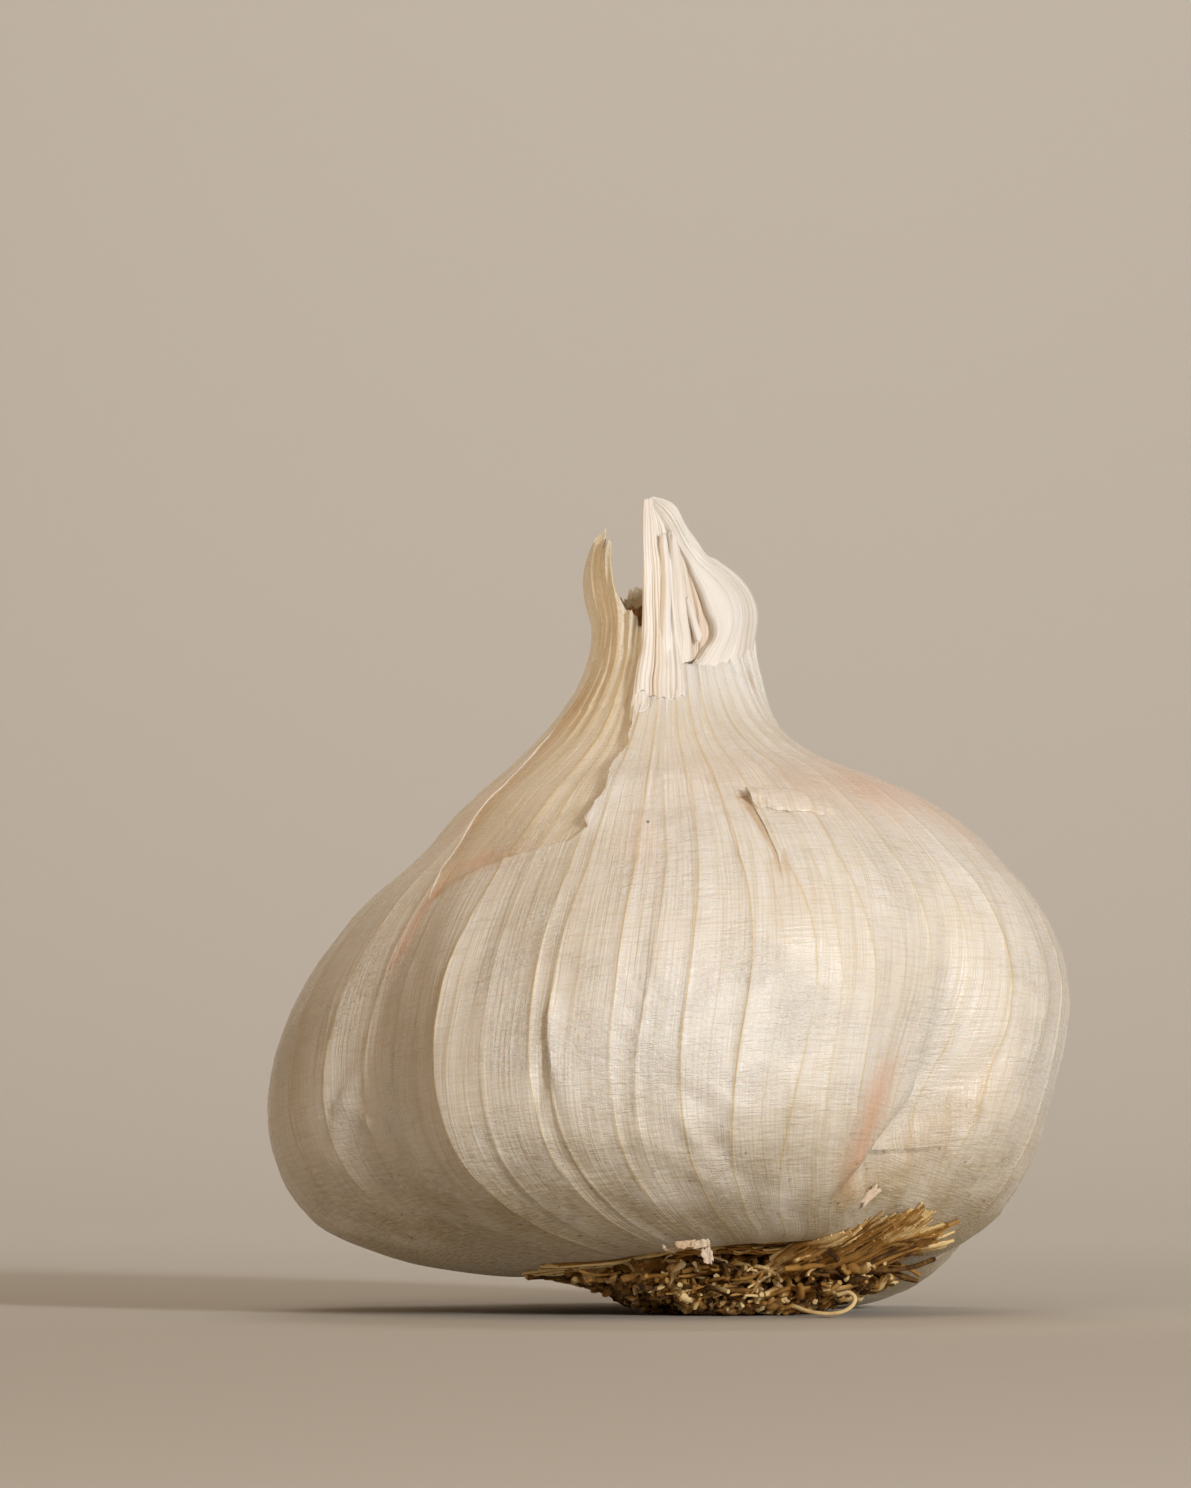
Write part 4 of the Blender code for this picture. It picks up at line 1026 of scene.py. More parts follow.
INNER_FOLD = (
    ((-0.4, -6.4, 47.3), (0.6, -6.4, 47.7), (1.6, -6.2, 48.3), (2.9, -5.8, 49.0)),
    ((0.0, -6.2, 49.4), (0.9, -6.1, 49.7), (1.8, -6.0, 50.0), (3.1, -5.5, 50.4)),
    ((0.2, -5.9, 51.8), (1.0, -5.7, 52.0), (1.9, -5.6, 52.2), (3.0, -5.2, 52.3)),
    ((0.3, -5.6, 54.2), (0.9, -5.4, 54.3), (1.6, -5.2, 54.4), (2.5, -4.9, 54.3)),
    ((0.3, -5.3, 56.0), (0.8, -5.1, 56.1), (1.2, -5.0, 56.1), (1.8, -4.8, 56.0)),
    ((0.3, -5.1, 57.3), (0.6, -5.0, 57.5), (0.9, -4.95, 57.4), (1.2, -4.8, 57.1)),
)
HOOD = (
    ((-0.4, -6.6, 47.1), (-0.1, -7.4, 47.2), (2.5, -6.2, 47.6), (4.5, -4.4, 48.1),
     (5.7, 0.0, 50.2), (4.8, 4.6, 51.9), (2.3, 6.6, 53.1)),
    ((0.6, -6.4, 48.1), (1.2, -7.1, 48.1), (3.1, -6.1, 48.7), (5.0, -3.9, 49.5),
     (5.9, 0.2, 51.1), (5.0, 5.0, 52.8), (2.4, 6.9, 54.0)),
    ((1.4, -6.0, 49.3), (2.1, -7.0, 49.2), (3.7, -5.9, 49.9), (5.3, -3.4, 50.9),
     (6.2, 0.4, 52.2), (5.2, 5.0, 54.0), (2.6, 6.8, 55.1)),
    ((2.2, -5.7, 50.1), (2.7, -6.7, 50.1), (4.2, -5.5, 51.1), (5.6, -2.8, 52.4),
     (6.3, 0.4, 53.6), (5.1, 4.8, 55.3), (2.7, 6.4, 56.2)),
    ((2.4, -5.3, 51.3), (2.8, -6.4, 51.2), (4.3, -5.2, 52.5), (5.5, -2.4, 53.9),
     (5.9, 0.2, 54.9), (4.8, 4.2, 56.3), (2.7, 5.4, 56.8)),
    ((2.1, -5.1, 52.7), (2.4, -6.1, 52.6), (4.0, -4.8, 54.0), (5.0, -2.2, 55.0),
     (5.4, 0.0, 55.8), (4.3, 3.2, 56.9), (2.5, 4.2, 57.1)),
    ((1.7, -4.9, 54.3), (2.0, -5.8, 54.2), (3.2, -4.6, 55.3), (4.2, -2.4, 56.1),
     (4.6, -1.0, 56.5), (3.8, 1.4, 57.3), (2.4, 2.6, 57.6)),
    ((1.3, -4.8, 55.8), (1.4, -5.5, 55.8), (2.2, -4.8, 56.4), (2.9, -3.4, 57.0),
     (3.4, -2.4, 57.2), (3.0, -1.0, 57.6), (2.2, -0.4, 57.7)),
    ((1.1, -4.8, 56.5), (1.2, -5.4, 56.5), (1.6, -5.0, 57.1), (2.2, -4.3, 57.5),
     (2.5, -3.6, 57.5), (2.2, -3.0, 57.6), (1.9, -2.8, 57.5)),
    ((0.6, -4.8, 57.6), (0.7, -5.2, 57.6), (1.0, -5.0, 58.1), (1.4, -4.7, 58.6),
     (1.7, -4.4, 58.7), (1.5, -4.1, 58.6), (1.3, -4.0, 58.3)),
    ((0.0, -4.8, 59.0), (0.1, -5.1, 59.0), (0.4, -5.0, 59.5), (0.8, -4.8, 60.0),
     (1.0, -4.6, 59.9), (0.9, -4.4, 59.5), (0.6, -4.3, 59.2)),
    ((-0.6, -4.8, 60.2), (-0.5, -5.0, 60.3), (-0.2, -4.95, 60.8), (0.2, -4.8, 61.4),
     (0.4, -4.6, 61.4), (0.2, -4.4, 61.0), (-0.1, -4.3, 60.7)),
    ((-1.2, -4.7, 61.4), (-1.2, -4.85, 61.4), (-1.0, -4.8, 61.8), (-0.6, -4.7, 62.1),
     (-0.3, -4.6, 62.0), (-0.5, -4.4, 61.7), (-0.7, -4.3, 61.4)),
    ((-1.9, -4.6, 61.6), (-1.9, -4.7, 61.7), (-1.8, -4.7, 62.1), (-1.5, -4.65, 62.4),
     (-1.3, -4.6, 62.4), (-1.4, -4.4, 62.1), (-1.6, -4.3, 61.8)),
)


# How thick the neck's sheets are, in millimetres
SHEET_THICKNESS = 0.13


def make_sheet(name, table, rows, columns, material, ridges=(), folds=0.0, fold=0.0, ragged=0.0, foot=0.0,
               gap=None, merge=0.0, brown_and_shade=(0.0, 0.0)):
    """A dry sheet through a table of points, folded lengthwise, torn at its ends, a gap off the skin.

    ridges lists (place across from 0 to 1, height, width across) of single folds; folds and fold say how
    many equal ones there are and how high. merge is how far the lowest row sinks into the skin.
    """
    table = np.array(table)
    along = spline(table, rows)
    grid = np.swapaxes(spline(np.swapaxes(along, 0, 1), columns), 0, 1).copy()
    ahead = np.gradient(grid, axis=0)
    across = np.gradient(grid, axis=1)
    normal = np.cross(ahead, across)
    normal /= np.maximum(np.linalg.norm(normal, axis=-1, keepdims=True), 1e-9)
    axis = np.stack((table_values(CENTRE_SHIFT, grid[..., 2]), 0.0 * grid[..., 1]), -1)
    if ((grid[..., :2] - axis) * normal[..., :2]).sum(-1).mean() < 0.0:
        normal = -normal
    widths = np.linalg.norm(across, axis=-1).sum(1)
    share = np.linspace(0.0, 1.0, columns)[None, :]
    up = np.linspace(0.0, 1.0, rows)[:, None]
    seed = float(len(name)) + 0.37 * len(table)
    tight = np.minimum(1.0, widths / 3.0)[:, None]
    wander = 0.30 * bumpy(share * 5.0, seed) + 0.10 * np.sin(4.0 * up + seed)
    push = fold * tight * np.sin(2.0 * math.pi * (share * folds + wander)) if folds else 0.0 * share * up
    for at, height, width in ridges:
        bent = share - at - 0.03 * np.sin(3.0 * up + 9.0 * at)
        push = push + height * tight * bell(bent, width)
    push = push + 0.09 * tight * bumpy(share * 8.0, up * 2.0, seed + 3.0)
    push = push + 0.06 * tight * bumpy(share * 22.0, up * 1.2, seed + 9.0)
    grid += normal * push[..., None]
    tear = ragged * (bumpy(share * 6.0, seed + 1.0) + 0.7 * bumpy(share * 19.0, seed + 2.0))
    tip = grid[-1] - grid[-4]
    tip /= np.maximum(np.linalg.norm(tip, axis=-1, keepdims=True), 1e-9)
    grid += tip[None] * (tear * smooth_step(0.6, 1.0, up))[..., None]
    frayed = foot * (bumpy(share * 7.0, seed + 5.0) + 0.6 * bumpy(share * 21.0, seed + 6.0))
    heel = grid[0] - grid[3]
    heel /= np.maximum(np.linalg.norm(heel, axis=-1, keepdims=True), 1e-9)
    grid += heel[None] * (frayed * smooth_step(0.3, 0.0, up))[..., None]
    if gap is not None:
        stand_off(grid, gap + 0.5 * np.maximum(push, 0.0) - (merge + gap) * smooth_step(0.2, 0.0, up))
    obj = new_piece(name, at_rest(grid.reshape(-1, 3)), faces_of_grid(rows, columns, False), material)
    # a straw-brown tint from root to tip, plus painted shade in the hollows of the folds
    shade = brown_and_shade[0] + (brown_and_shade[1] - brown_and_shade[0]) * up + 1.8 * np.clip(push.mean() - push, 0.0, 0.25)
    point_values(obj, "brown_and_shade", np.clip(shade, 0.0, 1.0).ravel())
    u = share * (widths.mean() / 41.0) + 0.0 * up
    v = np.cumsum(np.linalg.norm(ahead, axis=-1), 0) * 0.01
    corner_map(obj, u.ravel() * 0.999, v.ravel())
    thicken(obj, SHEET_THICKNESS)
    return obj


def stand_off(grid, gap):
    """Moves a sheet's points out to stand a gap off the skin wherever they would sink into it."""
    height = grid[..., 2]
    shift = table_values(CENTRE_SHIFT, height)
    x, y = grid[..., 0] - shift, grid[..., 1]
    angle = np.degrees(np.arctan2(x, -y))
    radius = skin_radius(height)
    inside = window_depth(angle, height) * smooth_step(-0.1, 0.1, in_window(angle, height))
    skin = skin_points(radius, angle, height, skin_relief(radius, angle, height) - inside)
    need = np.hypot(skin[..., 0] - shift, skin[..., 1]) + gap
    have = np.hypot(x, y)
    wall = table_values(RIM, turn_between(angle, 0.0)) + 0.5
    grow = np.where((height < wall) & (have < need), need / np.maximum(have, 1e-6), 1.0)
    grid[..., 0] = shift + x * grow
    grid[..., 1] = y * grow


def make_stub(material):
    """The ragged stub of the dried stalk inside the neck."""
    profile = spline(np.array(((0.02, 48.2), (3.3, 48.3), (3.5, 50.4), (3.6, 52.2), (3.3, 53.6), (2.5, 54.2),
                               (1.4, 52.8), (0.02, 52.3))), 60)
    columns = 96
    angle = np.linspace(0.0, 360.0, columns, endpoint=False)[None, :]
    radius, height = profile[:, 0][:, None], profile[:, 1][:, None]
    turn = np.radians(angle)
    fibres = 1.0 + 0.05 * np.sin(turn * 17.0 + 0.5 * bumpy(turn * 2.0, height * 0.3))
    fibres = fibres + 0.05 * bumpy(turn * 9.0, 4.0)
    torn = 1.3 * bumpy(np.cos(turn) * 4.0, np.sin(turn) * 4.0, radius * 0.8) * smooth_step(53.0, 54.6, height)
    points = np.stack((-1.0 + radius * fibres * np.cos(turn), 0.4 + radius * fibres * np.sin(turn),
                       height + torn), -1)
    faces = capped_faces(len(profile), columns)
    obj = new_piece("stalk_stub", at_rest(points.reshape(-1, 3)), faces, material)
    face_outward(obj)
    tone = 0.25 + 0.5 * smooth_step(52.0, 55.0, height) * (0.5 + 0.5 * np.sin(turn * 17.0))
    point_values(obj, "tone", (tone + 0 * turn).ravel())
    smooth(obj)
    return obj


# The pad of trimmed roots: (radius, height) from its top to the floor
PAD_PROFILE = (
    (0.02, 6.0), (6.6, 6.0), (8.6, 5.2), (9.4, 4.0), (9.0, 2.2), (7.8, 0.8), (6.0, 0.5), (3.2, 0.2),
    (0.02, 0.2),
)
ROOT_REACH = (
    (-180.0, 12.6), (-120.0, 12.6), (-75.0, 17.0), (-58.0, 18.4), (-30.0, 13.0), (0.0, 11.3),
    (30.0, 12.6), (55.0, 16.2), (80.0, 14.2), (120.0, 12.8), (180.0, 12.6),
)
# The reach at which the pad keeps the width of its profile
PAD_REACH = 13.4
# The mass of roots is trimmed like a bowl: nothing hangs lower than this, by radius
ROOT_LIFT = (
    (0.0, 0.0), (4.0, 0.0), (7.0, 0.5), (9.0, 1.4), (11.0, 2.3), (13.5, 3.1), (18.5, 3.9),
)


def skin_tree(skin):
    """The resting skin as a search tree, in millimetres."""
    shape = bmesh.new()
    shape.from_mesh(skin.data)
    shape.transform(Matrix.Scale(1.0 / MM, 4))
    tree = BVHTree.FromBMesh(shape)
    shape.free()
    return tree


def underside(tree, x, y):
    """How high the cloves hang above the floor at a place, or None beside them."""
    hit = tree.ray_cast(Vector((x, y, -20.0)), Vector((0.0, 0.0, 1.0)))
    return hit[0].z if hit[0] is not None else None


def make_root_pad(tree, material):
    """The matted core of the roots, lumpy, filling the recess under the root plate."""
    rows, columns = 90, 260
    radius, height = spline(np.array(PAD_PROFILE), rows).T
    angle = np.linspace(-180.0, 180.0, columns, endpoint=False)
    turn = np.radians(angle)[None, :]
    reach = (table_values(ROOT_REACH, angle) / PAD_REACH)[None, :] ** smooth_step(3.0, 9.0, radius)[:, None]
    x = radius[:, None] * reach * np.sin(turn)
    y = -radius[:, None] * reach * np.cos(turn)
    z = height[:, None] + 0.0 * turn
    lumps = 0.7 * bumpy(x * 0.45, y * 0.45, z * 0.7) + 0.7 * np.abs(bumpy(x * 1.1, y * 1.1, z * 1.4)) \
        + 0.4 * np.abs(bumpy(x * 2.6, y * 2.6, z * 2.8))
    inside = smooth_step(0.0, 2.0, radius)[:, None]
    x = x * (1.0 + 0.10 * (lumps - 0.3) * inside)
    y = y * (1.0 + 0.10 * (lumps - 0.3) * inside)
    z = z + np.where(z < 2.0, 1.1, 0.6) * np.abs(lumps) * inside
    z = np.maximum(z, table_values(ROOT_LIFT, np.hypot(x, y)) + 0.25 + 0.8 * np.abs(lumps))
    for i in range(rows):
        for j in range(columns):
            ceiling = underside(tree, x[i, j], y[i, j])
            if ceiling is not None:
                z[i, j] = min(z[i, j], ceiling - 0.12)
    z = np.maximum(z, 0.02)
    points = np.stack((x, y, z), -1).reshape(-1, 3) * MM
    obj = new_piece("root_pad", points, capped_faces(rows, columns), material)
    face_outward(obj)
    # darker where the pad dips and paler on its lumps: painted shade in the crevices
    point_values(obj, "tone", np.clip(0.05 + 0.75 * lumps, 0.0, 0.8).ravel())
    smooth(obj)
    return obj


def root_lines(tree, count, seed, rule):
    """Roots clear of the cloves and above the floor: each a list of (place, thickness), with a tone."""
    chance = random.Random(seed)
    lines = []
    tries = 0
    while len(lines) < count and tries < count * 12:
        tries += 1
        places, thick, tone = rule(chance)
        drop = chance.uniform(0.0, 0.7) ** 2
        path = []
        for k, place in enumerate(places):
            share = k / (len(places) - 1)
            wide = thick * (1.0 - 0.35 * share) * chance.uniform(0.7, 1.25)
            ceiling = underside(tree, place.x, place.y)
            if ceiling is not None:
                place.z = min(place.z, ceiling - wide - 0.02)
            low = float(line_values(ROOT_LIFT, 1, math.hypot(place.x, place.y)))
            low = max(0.0, low - 1.3 * abs(noise.noise(place * 0.45)) - drop)
            if ceiling is not None:
                low = min(low, ceiling - 2.2 * wide)
            place.z = max(place.z, low + wide + 0.02, wide + 0.02)
            for _ in range(3):
                near = tree.find_nearest(place)
                short = wide + 0.02 - (place - near[0]).length
                if short > 0.0:
                    place = place + near[1] * short
            if place.z < wide or (ceiling is not None and ceiling < 2.0 * wide + 0.05):
                break
            path.append((place, wide))
        if len(path) >= 4:
            lines.append((path, tone))
    return lines


def around_pad(direction, radius, height):
    """A place by its direction from the front, its distance from the middle and its height."""
    turn = math.radians(direction)
    return Vector((radius * math.sin(turn), -radius * math.cos(turn), height))


def splayed_root(chance):
    """A trimmed root that leaves the pad sideways and bends along under the cloves."""
    direction = chance.uniform(-180.0, 180.0)
    reach = float(table_values(ROOT_REACH, direction))
    start = chance.uniform(5.0, 8.5)
    end = max(start + 1.6, 8.4 + (reach - 8.4) * chance.random() ** 1.3)
    bend = chance.uniform(-30.0, 30.0)
    level = chance.random()
    top = 1.0 + 5.0 * chance.random()
    curl = chance.uniform(-0.9, 0.9)
    twist = chance.uniform(0.0, 6.3)
    places = []
    for k in range(10):
        share = k / 9
        turn = direction + bend * share * share + 7.0 * curl * math.sin(6.0 * share + twist)
        z = top * (1.0 - share) + (0.4 + 4.6 * level) * share + curl * math.sin(5.0 * share + twist)
        places.append(around_pad(turn, start + (end - start) * share, z))
    return places, chance.uniform(0.17, 0.36), 0.05 + 0.85 * chance.random() ** 1.3


def curled_root(chance):
    """A short, thick cut end that curls out of the pad."""
    direction = chance.uniform(-180.0, 180.0)
    reach = float(table_values(ROOT_REACH, direction)) / PAD_REACH
    radius = 10.2 * chance.random() ** 0.45 * reach
    top = chance.uniform(0.6, 5.4) if radius > 7.0 else chance.uniform(0.6, 2.6)
    place = around_pad(direction, radius, top)
    out = around_pad(direction, 1.0, 0.0)
    heading = Vector((
        out.x * chance.uniform(0.0, 1.0) + chance.gauss(0.0, 0.6),
        out.y * chance.uniform(0.0, 1.0) + chance.gauss(0.0, 0.6),
        chance.uniform(-1.0, 0.35),
    )).normalized()
    spin = Vector((chance.gauss(0.0, 1.0), chance.gauss(0.0, 1.0), chance.gauss(0.0, 1.0))).normalized()
    turn = Matrix.Rotation(math.radians(chance.uniform(-38.0, 38.0)), 3, spin)
    step = chance.uniform(0.22, 0.48)
    places = [place]
    for _ in range(6):
        place = place + heading * step
        heading = turn @ heading
        places.append(place.copy())
    return places, chance.uniform(0.16, 0.5), 1.05 * chance.random() ** 1.1


def groove_fibre(chance):
    """A pale straw fibre of the torn plate skin, one of a tuft that lies up the groove on the right."""
    tuft = chance.randrange(40)
    own = random.Random(tuft)
    direction = own.uniform(14.0, 58.0) + chance.gauss(0.0, 2.5)
    start = own.uniform(8.5, 11.5) + chance.uniform(-0.5, 0.5)
    reach = 19.6 - 0.10 * abs(direction - 40.0)
    end = start + (reach - start) * min(1.0, own.uniform(0.45, 1.05) * chance.uniform(0.75, 1.05))
    bend = own.uniform(4.0, 24.0)
    low = own.random() ** 1.2 * 2.6
    hang = low + chance.uniform(0.0, 0.3)
    wave = own.uniform(-3.0, 3.0)
    places = []
    for k in range(11):
        share = k / 10
        turn = direction + bend * share + wave * math.sin(4.0 * share)
        radius = start + (end - start) * share
        places.append(around_pad(turn, radius, 5.1 + 0.66 * (radius - 11.0) - hang * (0.5 + 0.5 * share)))
    tone = 0.95 - 0.30 * low
    return places, chance.uniform(0.07, 0.16) + 0.14 * own.random() ** 2, tone + chance.uniform(-0.1, 0.25)


def rim_fibre(chance):
    """A fibre of the old plate skin that runs out to the left under the front clove's lower edge."""
    direction = chance.uniform(-40.0, 30.0)
    start = chance.uniform(8.6, 11.5)
    turned = chance.uniform(12.0, 52.0)
    last = max(direction - turned, -84.0)
    limit = float(table_values(ROOT_REACH, last)) + 0.4
    end = min(start + chance.uniform(2.0, 9.0), limit)
    hang = chance.random() ** 1.5 * 1.1
    wave = chance.uniform(-0.25, 0.25)
    places = []
    for k in range(11):
        share = k / 10
        turn = direction + (last - direction) * share
        z = 6.2 - hang + wave * math.sin(9.0 * share)
        places.append(around_pad(turn, start + (end - start) * share ** 1.3, z))
    return places, chance.uniform(0.09, 0.22), chance.uniform(0.2, 1.0)


# A thin pale root that loops out in front of the pad, in millimetres at rest
LOOP = (
    (4.4, -11.2, 0.9), (5.6, -11.9, 0.5), (6.9, -12.3, 0.35), (8.1, -12.5, 0.5), (8.9, -12.5, 1.0),
    (9.1, -12.3, 1.6), (8.6, -12.0, 2.0), (7.8, -11.6, 1.8),
)


# Scraps of torn skin, in millimetres at rest: (x, z, width, height, lean in degrees, hang off the skin)
SCRAPS = (
    (-4.2, 5.9, 1.6, 0.55, 5.0, 0.1), (-3.0, 5.95, 1.3, 0.6, 12.0, 0.14),
    (-2.5, 5.0, 0.8, 1.2, 14.0, 0.3), (10.1, 9.6, 0.6, 1.8, -48.0, 0.12),
    (-5.4, 5.5, 1.0, 0.4, -10.0, 0.1),
)


def make_scraps(tree, material):
    """Small white scraps of torn skin that cling under the front clove's edge."""
    points, faces = [], []
    rows, columns = 9, 12
    for number, (x, z, width, height, lean, hang) in enumerate(SCRAPS):
        hit = tree.ray_cast(Vector((x, -60.0, z + 0.5 * height + 0.5)), Vector((0.0, 1.0, 0.0)))
        if hit[0] is None:
            continue
        u, v = np.meshgrid(np.linspace(-0.5, 0.5, columns), np.linspace(-0.5, 0.5, rows))
        ragged = 1.0 + 0.5 * bumpy(u * 4.0, v * 4.0, number * 3.1)
        across, along = u * width * ragged, v * height * ragged
        c, s = math.cos(math.radians(lean)), math.sin(math.radians(lean))
        crumple = 0.25 * bumpy(u * 4.0, v * 4.0, number * 7.7)
        grid = np.stack((x + across * c - along * s, hit[0].y - hang - 0.1 - np.abs(crumple) + 0.0 * u,
                         z + across * s + along * c), -1)
        faces.append(faces_of_grid(rows, columns, False) + len(points) * rows * columns)
        points.append(grid.reshape(-1, 3))
    obj = new_piece("root_scraps", np.concatenate(points) * MM, np.concatenate(faces), material)
    count = len(obj.data.vertices)
    point_values(obj, "brown_and_shade", np.full(count, 1.0))
    corner_map(obj, np.zeros(count), np.linspace(0.0, 0.1, count))
    thicken(obj, 0.09)
    return obj


def strand_tree(name, sides):
    """Geometry nodes that turn each path of a mesh into a closed, slightly crooked tapering strand."""
    tree = bpy.data.node_groups.new(name, "GeometryNodeTree")
    face = tree.interface
    for title, kind in (("Geometry", "Geometry"), ("Crookedness", "Float"), ("Crook Scale", "Float"),
                        ("Seed", "Float"), ("Material", "Material")):
        face.new_socket(title, in_out="INPUT", socket_type="NodeSocket" + kind)
    face.new_socket("Geometry", in_out="OUTPUT", socket_type="NodeSocketGeometry")
    start = tree.nodes.new("NodeGroupInput")
    end = tree.nodes.new("NodeGroupOutput")
    curves = add_node(tree, "GeometryNodeMeshToCurve", Mesh=start.outputs["Geometry"])
    thick = add_node(tree, "GeometryNodeInputNamedAttribute", {"data_type": "FLOAT"}, {"Name": "thick"})
    sized = add_node(tree, "GeometryNodeSetCurveRadius", Curve=curves.outputs["Curve"],
                     Radius=thick.outputs["Attribute"])
    place = add_node(tree, "GeometryNodeInputPosition")
    crook = add_node(tree, "ShaderNodeTexNoise", {"noise_dimensions": "4D"}, {"Detail": 2.0},
                     Vector=place.outputs[0], Scale=start.outputs["Crook Scale"], W=start.outputs["Seed"])
    centred = add_node(tree, "ShaderNodeVectorMath", {"operation": "SUBTRACT"}, {1: (0.5, 0.5, 0.5)},
                       in0=crook.outputs["Color"])
    push = add_node(tree, "ShaderNodeVectorMath", {"operation": "SCALE"}, None,
                    in0=centred.outputs[0], Scale=start.outputs["Crookedness"])
    bent = add_node(tree, "GeometryNodeSetPosition", Geometry=sized.outputs["Curve"], Offset=push.outputs[0])
    ring = add_node(tree, "GeometryNodeCurvePrimitiveCircle", {"mode": "RADIUS"},
                    {"Resolution": sides, "Radius": 1.0})
    radius = add_node(tree, "GeometryNodeInputRadius")
    tube = add_node(tree, "GeometryNodeCurveToMesh", None, {"Fill Caps": True},
                    Curve=bent.outputs["Geometry"], Profile_Curve=ring.outputs["Curve"])
    if "Scale" in tube.inputs:
        tree.links.new(radius.outputs[0], tube.inputs["Scale"])
    real = add_node(tree, "GeometryNodeRealizeInstances", Geometry=tube.outputs["Mesh"])
    done = add_node(tree, "GeometryNodeSetMaterial", Geometry=real.outputs["Geometry"],
                    Material=start.outputs["Material"])
    tree.links.new(done.outputs["Geometry"], end.inputs["Geometry"])
    return tree


def make_strands(name, lines, sides, crook, material):
    """Strands along paths in millimetres, made by geometry nodes and then kept as a plain mesh."""
    points, edges, thick, tone = [], [], [], []
    for path, shade in lines:
        first = len(points)
        for k, (place, wide) in enumerate(path):
            points.append(tuple(place * MM))
            thick.append(wide * MM)
            tone.append(shade * (0.75 + 0.5 * k / len(path)))
            if k:
                edges.append((first + k - 1, first + k))
    mesh = bpy.data.meshes.new(name)
    mesh.from_pydata(points, edges, [])
    obj = bpy.data.objects.new(name, mesh)
    bpy.context.scene.collection.objects.link(obj)
    point_values(obj, "thick", thick)
    point_values(obj, "tone", tone)
    modifier = obj.modifiers.new("strands", "NODES")
    tree = strand_tree(name + "_strands", sides)
    modifier.node_group = tree
    sockets = {item.name: item.identifier for item in tree.interface.items_tree if item.in_out == "INPUT"}
    modifier[sockets["Crookedness"]] = crook * MM
    modifier[sockets["Crook Scale"]] = 900.0
    modifier[sockets["Seed"]] = float(SEED)
    modifier[sockets["Material"]] = material
    apply_modifiers(obj)
    keep_above_floor(obj)
    smooth(obj)
    return obj


def keep_above_floor(obj):
    """Lifts the points that would sink into the floor."""
    places = np.zeros(len(obj.data.vertices) * 3, np.float32)
    obj.data.vertices.foreach_get("co", places)
    places[2::3] = np.maximum(places[2::3], 0.01 * MM)
    obj.data.vertices.foreach_set("co", places)
    obj.data.update()


# What a user would change

def color_property(name, description, hex_color):
    """A colour property whose default is an sRGB hex colour."""
    values = tuple(int(hex_color[i:i + 2], 16) / 255.0 for i in (1, 3, 5))
    return bpy.props.FloatVectorProperty(
        name=name, description=description, subtype="COLOR_GAMMA", size=3, min=0.0, max=1.0, default=values)


def length_property(name, description, default, low=0.0):
    """A length in metres, shown to a hundredth of a millimetre."""
    return bpy.props.FloatProperty(
        name=name, description=description, default=default, min=low, precision=5, unit="LENGTH")


def number_property(name, description, default, unit="NONE"):
    """A number of zero or more."""
    return bpy.props.FloatProperty(name=name, description=description, default=default, min=0.0, unit=unit)


def count_property(name, description, default):
    """How many there are, at least one."""
    return bpy.props.IntProperty(name=name, description=description, default=default, min=1)


class GarlicSkin(bpy.types.PropertyGroup):
    """Sizes of the dry skin's relief."""

    rib_height: length_property("Rib height", "How far a vein stands out of the skin", 0.00009)
    rib_width: length_property("Rib width", "Half width of a vein's rib", 0.00016, 0.00005)
    sag: length_property("Sag", "How far the skin sags between two veins", 0.00013)
    fold_strength: number_property("Fold strength", "How strongly the skin is folded and dented", 1.5)
    tear_lift: length_property("Tear lift", "How far a torn edge curls off the bulb", 0.00040)


class GarlicLook(bpy.types.PropertyGroup):
    """Colours of the dry skins, stalk and roots."""

    skin_light: color_property("Skin", "The outermost skin where it is palest", "#f8f5ee")
    skin_warm: color_property("Warm skin", "The outermost skin where it is warmer", "#f3ede1")
    skin_fibre: color_property("Fibres", "Fine fibres and streaks in the skin", "#dbceb4")
    # this tint also paints the shade in the slit
    under_sheet: color_property("Under-sheet", "The sheet under the outermost one", "#e9dabd")
    vein: color_property("Vein", "The line along each rib", "#dfc78c")
    vein_edge: color_property("Vein edge", "The soft shade beside each vein", "#d8c8a6")
    blush: color_property("Blush", "Pink tint near grooves and on the shoulder", "#e9b697")
    # the soil colour also paints shade low on the left, towards the bottom and in the grooves
    soil_and_shade: color_property("Soil", "Soil rubbed into the low skin", "#9c8450")
    soil_dark: color_property("Dark soil", "Specks of soil", "#5b4a30")
    # this colour also paints light on the neck's lit side, a highlight along the tear's lip and sheen on the
    # crinkles
    sheet_light: color_property("Neck sheet", "The free dry sheets of the neck", "#fbf9f5")
    sheet_cream: color_property("Neck sheet, warm", "The neck sheets where they are warmer", "#f5f1ea")
    # this colour also paints shade: in the skin's slit, tear gutter and right crease, and in the neck sheets'
    # folds
    sheet_brown: color_property("Sheet stain", "Straw-brown stain in the neck sheets", "#cda56c")
    stalk_dark: color_property("Stalk, dark", "The dried stalk in its hollows", "#57381a")
    stalk_middle: color_property("Stalk, middle", "The dried stalk", "#a3743b")
    stalk_pale: color_property("Stalk, pale", "Broken fibres of the stalk", "#d0a566")
    root_dark: color_property("Roots, dark", "The darkest roots", "#452b0d")
    root_middle: color_property("Roots, middle", "Most roots", "#ab7d3a")
    root_pale: color_property("Roots, pale", "The palest roots and fibres", "#ecd096")
    translucency: bpy.props.FloatProperty(
        name="Translucency", description="How much light passes through the skins", default=0.15,
        min=0.0, max=1.0, subtype="FACTOR")


